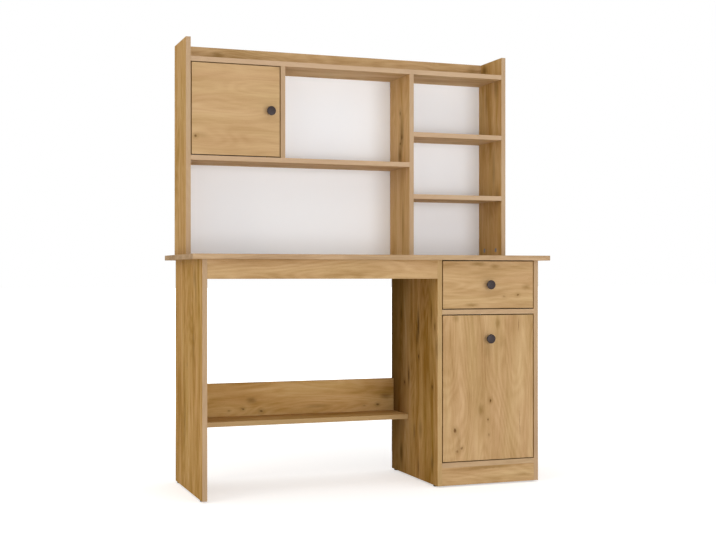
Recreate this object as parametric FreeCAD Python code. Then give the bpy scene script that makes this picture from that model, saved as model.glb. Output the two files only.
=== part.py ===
"""Student desk with a drawer-and-door cabinet and a hutch, in faced board.

Millimetres, +Z up, +X to the user's right, +Y to the back.  The origin is on
the floor, under the middle of the desk's overall width and depth.
"""
import FreeCAD, Part
import math
import os

V = FreeCAD.Vector
X_AXIS = V(1, 0, 0)
Y_AXIS = V(0, 1, 0)
Z_AXIS = V(0, 0, 1)

# ---------------------------------------------------------------------------
# Driving dimensions
# ---------------------------------------------------------------------------

# Sheet materials
board = 16.0                 # faced chipboard
hardboard = 3.0              # back panels and drawer bottom
edge_radius = 0.8            # rounding of the banded edges

# Base
base_w = 1134.0              # over the two outer panels
panel_depth = 400.0
desk_h = 750.0               # floor to the top of the desktop
side_lip = 33.0              # desktop past the outer panels
front_lip = 23.0             # desktop past the panels' front edges
back_lip = 17.0              # desktop past the panels' back edges
apron_h = 60.0
cabinet_w = 364.0
drawer_bay_h = 160.0
plinth_h = 58.0
modesty_h = 112.0
ledge_top = 211.0            # floor to the top of the ledge board
ledge_depth = 150.0

# Hutch
hutch_h = 697.0              # above the desktop
hutch_depth = 180.0
hutch_rail_h = 61.0
laptop_bay_h = 304.0
door_cell_w = 298.0
column_shelves = 2
sheet_lap = 12.0             # hutch back panel over the back rail

# Fronts
reveal = 3.0                 # gap all round the inset fronts
door_knob_drop = 77.0        # cabinet knob below the door's top edge
hutch_knob_inset = 33.5      # hutch knob from the door's free edge

# Drawer box
drawer_board = 12.0
drawer_side_h = 110.0
drawer_side_lift = 14.0      # bottom edge above the bay floor
drawer_box_depth = 350.0
groove_depth = 6.0
groove_lift = 8.0            # groove above the sides' bottom edge

# Loose shelf behind the door
loose_shelf_drop = 235.0     # its top below the door bay's ceiling
loose_shelf_setback = 30.0   # behind the door's back face
loose_fit = 0.5              # each end of the shelf
pin_r = 2.5
pin_reach = 9.0
pin_bed = 8.0                # length in the panel
pin_inset = 60.0             # from the shelf's front and back edges

# Cam fittings and dowels where a board's end butts against another board's face
cam_r = 7.5
cam_depth = 12.5
cam_reach = 24.0             # cam's middle from the board's end
cam_edge = 45.0              # cams from the board's front and back edges
cam_share = 0.3              # cam and dowel across a narrow board's height
cam_play = 0.2
recess_w = 1.2
recess_depth = 1.5
bolt_thread_r = 2.5
bolt_thread = 11.0           # length in the other board
bolt_shank_r = 3.0
bolt_shank = 16.0
bolt_neck_r = 1.6
bolt_neck = 6.0
bolt_head_r = 2.9
bolt_head = 3.0
dowel_r = 4.0
dowel_len = 30.0
dowel_bed = 10.0             # length in the other board
drawer_dowel_r = 3.0
drawer_dowel_len = 25.0
drawer_dowel_bed = 8.0
drawer_dowel_edge = 25.0     # from the drawer sides' upper and lower edges

# Glides
glide_h = 5.0
glide_r = 7.0
glide_dome = 1.0
glide_front = 35.0           # from the panels' front edges
glide_back = 22.0            # from their back edges
glide_nail_r = 1.2
glide_nail = 12.0

# Knobs
knob_r = 15.0
knob_h = 23.0
knob_foot_r = 7.0
knob_foot_h = 1.5
knob_neck_r = 6.8
knob_neck_share = 0.35       # the neck's place between the knob's foot and its rim
knob_rim_h = 3.6
knob_crown = 1.4
knob_screw_r = 2.0
knob_screw_bite = 12.0
screw_head_r = 4.0
screw_head_h = 2.0
screw_head_round = 0.9

# Telescopic slides; widths are measured out from the panel's inner face
slide_space = 12.7           # between panel and drawer side
slide_len = 350.0
slide_lift = 40.0            # slide axis above the drawer sides' bottom edge
slide_gauge = 1.2
slide_corner = 2.0
slide_setback = 2.0          # behind the drawer front's back face
outer_h = 45.0
outer_w = 10.5
outer_mouth = 35.0
middle_h = 33.8
middle_w = 7.8
middle_mouth = 24.0
middle_offset = 3.4
middle_short = 8.0           # middle member shorter than the slide
inner_h = 23.4
inner_w = 7.3
inner_mouth = 14.0
cage_len = 120.0
cage_t = 1.0                 # strip that holds a row of balls
cage_wall = 0.5              # strip beside its pockets
cage_play = 0.2
ball_pitch = 15.0
ball_play = 0.1              # ball to its races and its pocket

# Small screws
screw_r = 1.8
screw_bite = 10.0
pan_head_r = 3.6
pan_head_h = 1.7
slide_screw_inset = 37.0
hole_play = 0.05             # radial play of a hole round its fastener
seat_play = 0.3              # running clearance of moving pieces at their seats

# Concealed hinges; across = out from the panel, back = behind the face plane
cup_r = 17.5
cup_depth = 12.0
cup_wall = 1.0
cup_bed = 0.5                # bore deeper than the cup
cup_centre = 21.5            # from the door's hinge edge
wing_h = 62.0
wing_w = 16.0
wing_t = 1.2
wing_screws = 48.0           # spacing
hinge_inset = 90.0           # hinge centre from the cabinet door's ends
hutch_hinge_inset = 60.0
plate_setback = 53.0         # plate screws behind the face plane
plate_h = 50.0
plate_w = 16.0
plate_t = 2.0
plate_screws = 32.0          # spacing
saddle_h = 11.0
saddle_w = 8.0
saddle_len = 40.0
pivot_inset = 13.0           # hinge pin from the door's hinge edge
hinge_pin_r = 1.5
hinge_pin_play = 0.15
rivet_r = 2.3
rivet_h = 0.8
eye_r = 2.6                  # rolled eye of the arm round the pin
lug_t = 2.0                  # lugs of the cup that hold the pin
arm_h = 15.0
arm_gauge = 1.5
arm_lap = 4.0                # flanges down beside the saddle
arm_tail = 4.0               # arm behind the saddle
arm_taper = 6.0
neck_w = 10.0
neck_t = 2.2
neck_dip = 10.2              # bends of the neck from the pin: across, then back
neck_dip_back = 3.6
neck_far = 14.2
neck_far_back = 10.0
neck_top = 12.4
neck_top_back = 16.0
arm_screws = 22.0            # spacing of the side adjuster and the clamping screw
arm_screw_bite = 8.0         # length in the saddle

# ---------------------------------------------------------------------------
# Places that follow from the sizes above
# ---------------------------------------------------------------------------

front_reach = max(front_lip, knob_h)
overall_depth = front_reach + panel_depth + back_lip + hardboard
face_y = -overall_depth / 2 + front_reach          # front edges of the panels
panel_y = (face_y, face_y + panel_depth)
desk_back = panel_y[1] + back_lip

left = -base_w / 2
right = base_w / 2
leg_x = (left, left + board)
cab_left_x = (right - cabinet_w, right - cabinet_w + board)
cab_right_x = (right - board, right)
knee_x = (leg_x[1], cab_left_x[0])
bay_x = (cab_left_x[1], cab_right_x[0])

desktop_z = (desk_h - board, desk_h)
panel_z = (glide_h, desktop_z[0])
plinth_z = (glide_h, glide_h + plinth_h)
bottom_z = (plinth_z[1], plinth_z[1] + board)
drawer_bay_z = (desktop_z[0] - drawer_bay_h, desktop_z[0])
fixed_shelf_z = (drawer_bay_z[0] - board, drawer_bay_z[0])
door_bay_z = (bottom_z[1], fixed_shelf_z[0])
apron_z = (desktop_z[0] - apron_h, desktop_z[0])
ledge_z = (ledge_top - board, ledge_top)
ledge_y = (panel_y[1] - ledge_depth, panel_y[1])
modesty_z = (ledge_top, ledge_top + modesty_h)
modesty_y = (panel_y[1] - board, panel_y[1])

hutch_y = (desk_back - hutch_depth, desk_back)
hutch_side_z = (desk_h, desk_h + hutch_h)
rail_z = (hutch_side_z[1] - hutch_rail_h, hutch_side_z[1])
rail_y = (hutch_y[1] - board, hutch_y[1])
hutch_top_z = (rail_z[0] - board, rail_z[0])
mid_shelf_z = (desk_h + laptop_bay_h, desk_h + laptop_bay_h + board)
short_x = (leg_x[1] + door_cell_w, leg_x[1] + door_cell_w + board)
tall_x = cab_left_x
column_x = bay_x
column_shelf_names = {"hutch_column_lower_shelf": 1, "hutch_column_upper_shelf": 2}

drawer_front_z = (drawer_bay_z[0] + reveal, drawer_bay_z[1] - reveal)
front_x = (bay_x[0] + reveal, bay_x[1] - reveal)
front_y = (face_y, face_y + board)
drawer_x = (bay_x[0] + slide_space, bay_x[1] - slide_space)
drawer_y = (front_y[1], front_y[1] + drawer_box_depth)
drawer_side_z = (drawer_bay_z[0] + drawer_side_lift,
                 drawer_bay_z[0] + drawer_side_lift + drawer_side_h)
groove_z = (drawer_side_z[0] + groove_lift, drawer_side_z[0] + groove_lift + hardboard)
slide_z = drawer_side_z[0] + slide_lift
slide_y = (front_y[1] + slide_setback, front_y[1] + slide_setback + slide_len)

door_z = (door_bay_z[0] + reveal, door_bay_z[1] - reveal)
hutch_door_x = (leg_x[1] + reveal, short_x[0] - reveal)
hutch_door_y = (hutch_y[0], hutch_y[0] + board)
hutch_door_z = (mid_shelf_z[1] + reveal, hutch_top_z[0] - reveal)

loose_shelf_z = (door_bay_z[1] - loose_shelf_drop - board, door_bay_z[1] - loose_shelf_drop)
loose_shelf_y = (front_y[1] + loose_shelf_setback, panel_y[1] - loose_fit)

drawer_knob_at = V((front_x[0] + front_x[1]) / 2, face_y, sum(drawer_front_z) / 2)
door_knob_at = V((front_x[0] + front_x[1]) / 2, face_y, door_z[1] - door_knob_drop)
hutch_knob_at = V(hutch_door_x[1] - hutch_knob_inset, hutch_y[0], sum(hutch_door_z) / 2)

door_hinge_z = (door_z[0] + hinge_inset, door_z[1] - hinge_inset)
hutch_hinge_z = (hutch_door_z[0] + hutch_hinge_inset, hutch_door_z[1] - hutch_hinge_inset)

pivot_across = reveal + pivot_inset
pivot_back = board - cup_depth + cup_wall + seat_play + eye_r


# ---------------------------------------------------------------------------
# Shapes that several pieces share
# ---------------------------------------------------------------------------

def block(x, y, z):
    """Rectangular block between a low and a high value on each axis."""
    return Part.makeBox(x[1] - x[0], y[1] - y[0], z[1] - z[0], V(x[0], y[0], z[0]))


def rod(radius, length, start, axis):
    """Round bar from a start point along an axis."""
    return Part.makeCylinder(radius, length, start, axis)


def eased(solid, *names):
    """Round a board's edges; '-y+z' names the edge between its front and top faces."""
    box = solid.BoundBox
    side = {"-x": box.XMin, "+x": box.XMax, "-y": box.YMin,
            "+y": box.YMax, "-z": box.ZMin, "+z": box.ZMax}
    chosen = []
    for name in names:
        first, second = name[:2], name[2:]
        for edge in solid.Edges:
            centre = edge.BoundBox.Center
            place = {"x": centre.x, "y": centre.y, "z": centre.z}
            if all(abs(place[face[1]] - side[face]) < 1e-6 for face in (first, second)):
                chosen.append(edge)
    return solid.makeFillet(edge_radius, chosen)


def shelf_board(x, y, z):
    """Lying board whose ends butt against panels; its front edge is banded."""
    return eased(block(x, y, z), "-y+z", "-y-z")


def upright_board(x, y, z):
    """Standing board with a banded front edge."""
    return eased(block(x, y, z), "-y-x", "-y+x")


def front_board(x, y, z):
    """Inset front, banded on all four edges."""
    return eased(block(x, y, z), "-y-x", "-y+x", "-y-z", "-y+z")


def without(solid, cutters):
    """The solid less a list of cutters."""
    return solid.cut(cutters) if cutters else solid


def group(solids):
    """Several separate solids as one node."""
    return solids[0] if len(solids) == 1 else Part.makeCompound(solids)


# ---------------------------------------------------------------------------
# Cam fittings and dowels
# ---------------------------------------------------------------------------

class ButtJoint:
    """A board's end against another board's face.

    into = the way into the butting board; side = out of the face that its cams are sunk in;
    cams and dowels = their places on the meeting plane, in the middle of the board's thickness.
    """

    def __init__(self, board_name, other_name, into, side, cams, dowels):
        self.board_name = board_name
        self.other_name = other_name
        self.into = into
        self.side = side
        self.cams = cams
        self.dowels = dowels

    def bolt(self, at, play=0.0):
        """Bolt screwed into the other board, its head held by the cam."""
        into = self.into
        neck = at + into * bolt_shank
        thread = rod(bolt_thread_r + play, bolt_thread, at, into * -1)
        head = rod(bolt_head_r + play, bolt_head, neck + into * bolt_neck, into)
        return thread.fuse([rod(bolt_shank_r + play, bolt_shank, at, into),
                            rod(bolt_neck_r + play, bolt_neck, neck, into), head]).removeSplitter()

    def cam_body(self, at, play=0.0):
        face = at + self.into * cam_reach + self.side * (board / 2)
        return rod(cam_r + play, cam_depth, face, self.side * -1)

    def bar(self, at, along, across, up):
        """Block on the fitting's own axes: into the board, across, and out of the cam's face."""
        third = self.into.cross(self.side)
        ends = [at + self.into * a + third * b + self.side * c
                for a, b, c in zip(along, across, up)]
        spans = [sorted(pair) for pair in zip(ends[0], ends[1])]
        return block(*spans)

    def cam(self, at):
        """Cam with a slot that drops over the bolt's head, and a cross recess for the screwdriver."""
        roof = bolt_head_r + cam_play
        head_start = bolt_shank + bolt_neck - cam_play
        head_end = bolt_shank + bolt_neck + bolt_head + cam_play
        neck_half = bolt_neck_r + cam_play
        face, half = board / 2, cam_r - recess_depth
        cuts = [
            self.bar(at, (head_start, head_end), (-roof, roof), (-board, roof)),
            self.bar(at, (0, head_start), (-neck_half, neck_half), (-board, neck_half)),
            self.bar(at, (cam_reach - half, cam_reach + half), (-recess_w / 2, recess_w / 2),
                     (face - recess_depth, face)),
            self.bar(at, (cam_reach - recess_w / 2, cam_reach + recess_w / 2), (-half, half),
                     (face - recess_depth, face)),
        ]
        return self.cam_body(at).cut(cuts)

    def dowel(self, at, play=0.0):
        return dowel_at(at, self.into, dowel_r + play, dowel_len, dowel_bed)

    def board_bores(self):
        """What is cut out of the butting board."""
        bores = [self.cam_body(at, hole_play) for at in self.cams]
        return bores + [self.bolt(at, hole_play) for at in self.cams] + self.dowel_bores()

    def other_bores(self):
        """What is cut out of the other board."""
        return [self.bolt(at, hole_play) for at in self.cams] + self.dowel_bores()

    def dowel_bores(self):
        return [self.dowel(at, hole_play) for at in self.dowels]


def dowel_at(at, into, radius, length, bed):
    return rod(radius, length, at - into * bed, into)


def lying_ends(name, others, x, y, z, side):
    """Both ends of a lying board between two uprights: two cams and a dowel between them."""
    height = sum(z) / 2
    joints = []
    for end, into, other in ((x[0], X_AXIS, others[0]), (x[1], X_AXIS * -1, others[1])):
        cams = [V(end, y[0] + cam_edge, height), V(end, y[1] - cam_edge, height)]
        joints.append(ButtJoint(name, other, into, side, cams, [V(end, sum(y) / 2, height)]))
    return joints


def on_edge_ends(name, others, x, y, z):
    """Both ends of a board on edge between two uprights: a cam sunk from behind and a dowel above it."""
    middle = sum(y) / 2
    span = z[1] - z[0]
    joints = []
    for end, into, other in ((x[0], X_AXIS, others[0]), (x[1], X_AXIS * -1, others[1])):
        cams = [V(end, middle, z[0] + cam_share * span)]
        joints.append(ButtJoint(name, other, into, Y_AXIS, cams, [V(end, middle, z[1] - cam_share * span)]))
    return joints


def upright_end(name, other, x, y, z, into, side):
    """One end of an upright board under or on a lying one."""
    middle = sum(x) / 2
    cams = [V(middle, y[0] + cam_edge, z), V(middle, y[1] - cam_edge, z)]
    return ButtJoint(name, other, into, side, cams, [V(middle, sum(y) / 2, z)])


def base_joints():
    knee_sides = ("left_leg_panel", "cabinet_left_panel")
    bay_sides = ("cabinet_left_panel", "cabinet_right_panel")
    down = Z_AXIS * -1
    panels = (("left_leg_panel", leg_x, X_AXIS), ("cabinet_left_panel", cab_left_x, X_AXIS),
              ("cabinet_right_panel", cab_right_x, X_AXIS * -1))
    tops = [upright_end(name, "desktop", x, panel_y, desktop_z[0], down, side)
            for name, x, side in panels]
    return (tops + on_edge_ends("front_apron", knee_sides, knee_x, front_y, apron_z)
            + on_edge_ends("modesty_panel", knee_sides, knee_x, modesty_y, modesty_z)
            + on_edge_ends("cabinet_plinth", bay_sides, bay_x, front_y, plinth_z)
            + lying_ends("modesty_ledge", knee_sides, knee_x, ledge_y, ledge_z, down)
            + lying_ends("cabinet_fixed_shelf", bay_sides, bay_x, panel_y, fixed_shelf_z, down)
            + lying_ends("cabinet_bottom_board", bay_sides, bay_x, panel_y, bottom_z, down))


def hutch_joints():
    sides = ("hutch_left_side", "hutch_right_side")
    column_sides = ("hutch_tall_divider", "hutch_right_side")
    down = Z_AXIS * -1
    standing = (("hutch_left_side", leg_x, X_AXIS), ("hutch_tall_divider", tall_x, X_AXIS),
                ("hutch_right_side", cab_right_x, X_AXIS * -1))
    hanging = (("hutch_tall_divider", tall_x, X_AXIS), ("hutch_short_divider", short_x, X_AXIS * -1))
    feet = [upright_end(name, "desktop", x, hutch_y, desk_h, Z_AXIS, side)
            for name, x, side in standing]
    heads = [upright_end(name, "hutch_top_shelf", x, hutch_y, hutch_top_z[0], down, side)
             for name, x, side in hanging]
    short_foot = upright_end("hutch_short_divider", "hutch_middle_shelf", short_x, hutch_y,
                             mid_shelf_z[1], Z_AXIS, X_AXIS * -1)
    between = (leg_x[1], cab_right_x[0])
    joints = feet + heads + [short_foot] + on_edge_ends("hutch_back_rail", sides, between, rail_y, rail_z)
    joints += lying_ends("hutch_top_shelf", sides, between, hutch_y, hutch_top_z, Z_AXIS)
    joints += lying_ends("hutch_middle_shelf", ("hutch_left_side", "hutch_tall_divider"),
                         (leg_x[1], tall_x[0]), hutch_y, mid_shelf_z, Z_AXIS)
    for name, number in column_shelf_names.items():
        joints += lying_ends(name, column_sides, column_x, hutch_y, column_shelf_z(number), Z_AXIS)
    return joints


def butt_joints():
    return base_joints() + hutch_joints()


def drilled(name, solid):
    """A board with the bores of its own cam fittings and dowels, and of those that end in it."""
    bores = []
    for joint in butt_joints():
        if joint.board_name == name:
            bores += joint.board_bores()
        if joint.other_name == name:
            bores += joint.other_bores()
    return without(solid, bores)


def cam_locks():
    return group([joint.cam(at) for joint in butt_joints() for at in joint.cams])


def cam_bolts():
    return group([joint.bolt(at) for joint in butt_joints() for at in joint.cams])


def wood_dowels():
    return group([joint.dowel(at) for joint in butt_joints() for at in joint.dowels])


# ---------------------------------------------------------------------------
# Base
# ---------------------------------------------------------------------------

def desktop():
    slab = block((left - side_lip, right + side_lip), (face_y - front_lip, desk_back), desktop_z)
    return slab.makeFillet(edge_radius, slab.Edges)


def base_panel(x, holes):
    """One of the three upright panels, with its glide nail holes and other bores."""
    panel = upright_board(x, panel_y, panel_z)
    return without(panel, [glide_nail_at(at, hole_play) for at in glide_points(x)] + holes)


def left_leg_panel():
    return base_panel(leg_x, [])


def cabinet_left_panel():
    holes = slide_screw_holes(bay_x[0], 1) + shelf_pin_holes(bay_x[0], 1)
    return base_panel(cab_left_x, holes)


def cabinet_right_panel():
    holes = slide_screw_holes(bay_x[1], -1) + shelf_pin_holes(bay_x[1], -1)
    holes += plate_screw_holes(door_hinges())
    return base_panel(cab_right_x, holes)


def front_apron():
    return eased(block(knee_x, front_y, apron_z), "-y-z", "+y-z")


def modesty_panel():
    return eased(block(knee_x, modesty_y, modesty_z), "-y+z", "+y+z")


def modesty_ledge():
    return shelf_board(knee_x, ledge_y, ledge_z)


def cabinet_fixed_shelf():
    return shelf_board(bay_x, panel_y, fixed_shelf_z)


def cabinet_bottom_board():
    return shelf_board(bay_x, panel_y, bottom_z)


def cabinet_plinth():
    return eased(block(bay_x, front_y, plinth_z), "-y-z")


def cabinet_back_panel():
    return block((cab_left_x[0], cab_right_x[1]), (panel_y[1], panel_y[1] + hardboard),
                 (bottom_z[0], desktop_z[0]))


def cabinet_loose_shelf():
    x = (bay_x[0] + loose_fit, bay_x[1] - loose_fit)
    return shelf_board(x, loose_shelf_y, loose_shelf_z)


def shelf_pin_points():
    """Front and back places of the shelf pins, on the underside of the loose shelf."""
    z = loose_shelf_z[0] - pin_r
    return [V(0, loose_shelf_y[0] + pin_inset, z), V(0, loose_shelf_y[1] - pin_inset, z)]


def shelf_pin_holes(panel_face, across):
    """Blind holes in one panel; across is the direction out of its inner face."""
    return [rod(pin_r + hole_play, pin_bed, V(panel_face, at.y, at.z), X_AXIS * -across)
            for at in shelf_pin_points()]


def shelf_pins():
    pins = []
    for panel_face, across in ((bay_x[0], 1), (bay_x[1], -1)):
        for at in shelf_pin_points():
            start = V(panel_face - across * pin_bed, at.y, at.z)
            pins.append(rod(pin_r, pin_bed + pin_reach, start, X_AXIS * across))
    return group(pins)


def glide_points(x):
    """The two places under a panel, in the middle of its thickness."""
    middle = sum(x) / 2
    return [V(middle, panel_y[0] + glide_front, glide_h), V(middle, panel_y[1] - glide_back, glide_h)]


def glide_nail_at(at, play):
    return rod(glide_nail_r + play, glide_nail, at, Z_AXIS)


def glide_feet():
    """Domed plastic glides with a nail up into the panel."""
    feet = []
    for x in (leg_x, cab_left_x, cab_right_x):
        for at in glide_points(x):
            pad = rod(glide_r, glide_h, V(at.x, at.y, 0), Z_AXIS)
            pad = pad.makeFillet(glide_dome, [pad.Edges[2]])
            feet.append(pad.fuse(glide_nail_at(at, 0)).removeSplitter())
    return group(feet)


# ---------------------------------------------------------------------------
# Hutch
# ---------------------------------------------------------------------------

def hutch_side(x, holes):
    side = eased(block(x, hutch_y, hutch_side_z), "-y-x", "-y+x", "+z-x", "+z+x")
    return without(side, holes)


def hutch_left_side():
    return hutch_side(leg_x, plate_screw_holes(hutch_door_hinges()))


def hutch_right_side():
    return hutch_side(cab_right_x, [])


def hutch_top_shelf():
    return shelf_board((leg_x[1], cab_right_x[0]), hutch_y, hutch_top_z)


def hutch_back_rail():
    return eased(block((leg_x[1], cab_right_x[0]), rail_y, rail_z), "-y+z", "+y+z")


def hutch_middle_shelf():
    return shelf_board((leg_x[1], tall_x[0]), hutch_y, mid_shelf_z)


def hutch_short_divider():
    return upright_board(short_x, hutch_y, (mid_shelf_z[1], hutch_top_z[0]))


def hutch_tall_divider():
    return upright_board(tall_x, hutch_y, (desk_h, hutch_top_z[0]))


def column_shelf_z(number):
    """Low and high side of a column shelf, counted from the desktop up."""
    clear = hutch_top_z[0] - desk_h - column_shelves * board
    cell = clear / (column_shelves + 1)
    low = desk_h + number * cell + (number - 1) * board
    return (low, low + board)


def hutch_column_shelf(number):
    return shelf_board(column_x, hutch_y, column_shelf_z(number))


def hutch_back_panel():
    return block((left, right), (hutch_y[1], hutch_y[1] + hardboard),
                 (desk_h, rail_z[0] + sheet_lap))


# ---------------------------------------------------------------------------
# Knobs
# ---------------------------------------------------------------------------

def knob_hole(at, thickness):
    """Through hole for a knob screw."""
    return rod(knob_screw_r + hole_play, thickness, at, Y_AXIS)


def knob(at):
    """Mushroom knob turned about the screw's axis, standing out to the front."""
    rim_r = knob_r - knob_rim_h / 4
    rim_back = knob_h - knob_crown - knob_rim_h
    rim_front = knob_h - knob_crown
    crown_r = (rim_r ** 2 + knob_crown ** 2) / (2 * knob_crown)
    half = math.asin(rim_r / crown_r) / 2
    crown_mid = V(crown_r * math.sin(half), -knob_h + crown_r * (1 - math.cos(half)), 0)
    neck = V(knob_neck_r, -rim_back * knob_neck_share, 0)
    rim = V(knob_r, -(rim_back + rim_front) / 2, 0)
    outline = [
        Part.LineSegment(V(0, 0, 0), V(knob_foot_r, 0, 0)),
        Part.LineSegment(V(knob_foot_r, 0, 0), V(knob_foot_r, -knob_foot_h, 0)),
        Part.Arc(V(knob_foot_r, -knob_foot_h, 0), neck, V(rim_r, -rim_back, 0)),
        Part.Arc(V(rim_r, -rim_back, 0), rim, V(rim_r, -rim_front, 0)),
        Part.Arc(V(rim_r, -rim_front, 0), crown_mid, V(0, -knob_h, 0)),
        Part.LineSegment(V(0, -knob_h, 0), V(0, 0, 0)),
    ]
    wire = Part.Wire([piece.toShape() for piece in outline])
    turned = Part.Face(wire).revolve(V(0, 0, 0), Y_AXIS, 360)
    turned.translate(at)
    return turned.cut(rod(knob_screw_r + hole_play, knob_screw_bite, at, Y_AXIS * -1))


def knob_screw(at, thickness):
    """Pan-head screw through the front from behind, into the knob."""
    back = at + V(0, thickness, 0)
    shank = rod(knob_screw_r, thickness + knob_screw_bite, back, Y_AXIS * -1)
    head = rod(screw_head_r, screw_head_h, back, Y_AXIS)
    head = head.makeFillet(screw_head_round, [head.Edges[0]])
    return shank.fuse(head).removeSplitter()


# ---------------------------------------------------------------------------
# Drawer
# ---------------------------------------------------------------------------

def drawer_groove(solid):
    """Cut the bottom's groove out of a drawer board."""
    reach = groove_depth - hole_play
    x = (drawer_x[0] + drawer_board - reach, drawer_x[1] - drawer_board + reach)
    y = (drawer_y[0] - reach, drawer_y[1] + board)
    z = (groove_z[0] - hole_play, groove_z[1] + hole_play)
    return solid.cut(block(x, y, z))


def drawer_dowels_at(play):
    """Dowels from the sides' front ends into the front, and from the back board's ends into the sides."""
    heights = (drawer_side_z[0] + drawer_dowel_edge, drawer_side_z[1] - drawer_dowel_edge)
    half = drawer_board / 2
    side_x = (drawer_x[0] + half, drawer_x[1] - half)
    back_x = (drawer_x[0] + drawer_board, drawer_x[1] - drawer_board)
    places = [(V(x, drawer_y[0], z), Y_AXIS) for x in side_x for z in heights]
    places += [(V(x, drawer_y[1] - half, z), X_AXIS * way)
               for x, way in zip(back_x, (1, -1)) for z in heights]
    return [dowel_at(at, into, drawer_dowel_r + play, drawer_dowel_len, drawer_dowel_bed)
            for at, into in places]


def drawer_dowels():
    return group(drawer_dowels_at(0))


def drawer_front():
    front = front_board(front_x, front_y, drawer_front_z)
    return drawer_groove(front).cut([knob_hole(drawer_knob_at, board)] + drawer_dowels_at(hole_play))


def drawer_side(x, face, across):
    side = eased(block(x, drawer_y, drawer_side_z), "-x+z", "+x+z")
    holes = [inner_screw(face, across, at, hole_play) for at in inner_screw_points()]
    return drawer_groove(side).cut(holes + drawer_dowels_at(hole_play))


def drawer_left_side():
    return drawer_side((drawer_x[0], drawer_x[0] + drawer_board), bay_x[0], 1)


def drawer_right_side():
    return drawer_side((drawer_x[1] - drawer_board, drawer_x[1]), bay_x[1], -1)


def drawer_back_board():
    x = (drawer_x[0] + drawer_board, drawer_x[1] - drawer_board)
    y = (drawer_y[1] - drawer_board, drawer_y[1])
    back = eased(block(x, y, (groove_z[1], drawer_side_z[1])), "-y+z", "+y+z")
    return back.cut(drawer_dowels_at(hole_play))


def drawer_bottom():
    inset = drawer_board - groove_depth + 2 * hole_play
    x = (drawer_x[0] + inset, drawer_x[1] - inset)
    y = (drawer_y[0] - groove_depth + 2 * hole_play, drawer_y[1])
    return block(x, y, groove_z)


# ---------------------------------------------------------------------------
# Telescopic slides
# ---------------------------------------------------------------------------

def slotted_tube(width, height, mouth, length, opens):
    """Rolled C channel along +Y, its web or its mouth on the far side of +X."""
    outer = block((0, width), (0, length), (-height / 2, height / 2))
    outer = outer.makeFillet(slide_corner, [e for e in outer.Edges if along_y(e, length)])
    bore = block((slide_gauge, width - slide_gauge), (0, length),
                 (-height / 2 + slide_gauge, height / 2 - slide_gauge))
    inside = slide_corner - slide_gauge
    bore = bore.makeFillet(inside, [e for e in bore.Edges if along_y(e, length)])
    slot_x = (width / 2, width) if opens > 0 else (0, width / 2)
    slot = block(slot_x, (0, length), (-mouth / 2, mouth / 2))
    return outer.cut([bore, slot])


def along_y(edge, length):
    return abs(edge.BoundBox.YLength - length) < 1e-6


def beside_panel(solid, face, across):
    """Set a shape drawn with its panel at x = 0 against a panel's inner face."""
    if across < 0:
        solid = solid.mirror(V(0, 0, 0), X_AXIS)
    solid.translate(V(face, 0, 0))
    return solid


def both_sides(make):
    """The left and the right piece of a pair that faces the drawer."""
    return group([make(bay_x[0], 1), make(bay_x[1], -1)])


def slide_screw_points():
    """Front and back screw places of the outer member."""
    return [V(0, slide_y[0] + slide_screw_inset, slide_z), V(0, slide_y[1] - slide_screw_inset, slide_z)]


def slide_screw(face, across, at, play):
    """Pan-head screw through the outer member's web into the panel."""
    start = V(face + across * slide_gauge, at.y, at.z)
    return rod(screw_r + play, slide_gauge + screw_bite, start, X_AXIS * -across)


def slide_screw_holes(face, across):
    return [slide_screw(face, across, at, hole_play) for at in slide_screw_points()]


def slide_fixing_screws():
    screws = []
    for face, across in ((bay_x[0], 1), (bay_x[1], -1)):
        for at in slide_screw_points():
            start = V(face + across * slide_gauge, at.y, at.z)
            head = rod(pan_head_r, pan_head_h, start, X_AXIS * across)
            screws.append(slide_screw(face, across, at, 0).fuse(head).removeSplitter())
    return group(screws)


def slide_outer_members():
    def make(face, across):
        channel = slotted_tube(outer_w, outer_h, outer_mouth, slide_len, 1)
        channel.translate(V(0, slide_y[0], slide_z))
        return beside_panel(channel, face, across).cut(slide_screw_holes(face, across))
    return both_sides(make)


def slide_middle_members():
    def make(face, across):
        channel = slotted_tube(middle_w, middle_h, middle_mouth, slide_len - middle_short, 1)
        channel.translate(V(middle_offset, slide_y[0] + middle_short / 2, slide_z))
        return beside_panel(channel, face, across)
    return both_sides(make)


class BallRow:
    """A row of balls in a strip, between two races above a slide's axis; its panel is at x = 0."""

    def __init__(self, lip, y, races):
        self.y = y
        self.height = sum(races) / 2
        self.ball_r = (races[1] - races[0]) / 2 - ball_play
        self.half_w = self.ball_r + ball_play + cage_wall
        self.x = lip - cage_play - self.half_w

    def centres(self, way):
        """Middles of the balls; way = 1 above the slide's axis, -1 below it."""
        count = int((self.y[1] - self.y[0]) // ball_pitch)
        return [V(self.x, self.y[0] + (number + 0.5) * ball_pitch, slide_z + way * self.height)
                for number in range(count)]

    def balls(self, way):
        return [Part.makeSphere(self.ball_r, at) for at in self.centres(way)]

    def cage(self, way):
        """Strip through the balls' middles, with a round pocket for each."""
        low = slide_z + way * self.height - cage_t / 2
        strip = block((self.x - self.half_w, self.x + self.half_w), self.y, (low, low + cage_t))
        return strip.cut([rod(self.ball_r + ball_play, cage_t, V(at.x, at.y, low), Z_AXIS)
                          for at in self.centres(way)])


def ball_rows():
    """Behind between the outer and the middle member, in front between the middle and the inner."""
    start = slide_y[0] + middle_short / 2
    end = start + slide_len - middle_short - slide_gauge
    rear = (end - cage_len, end)
    fore = (start + slide_screw_inset, start + slide_screw_inset + cage_len)
    return [BallRow(outer_w - slide_gauge, rear, (middle_h / 2, outer_h / 2 - slide_gauge)),
            BallRow(middle_offset + middle_w - slide_gauge, fore,
                    (inner_h / 2, middle_h / 2 - slide_gauge))]


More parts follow.
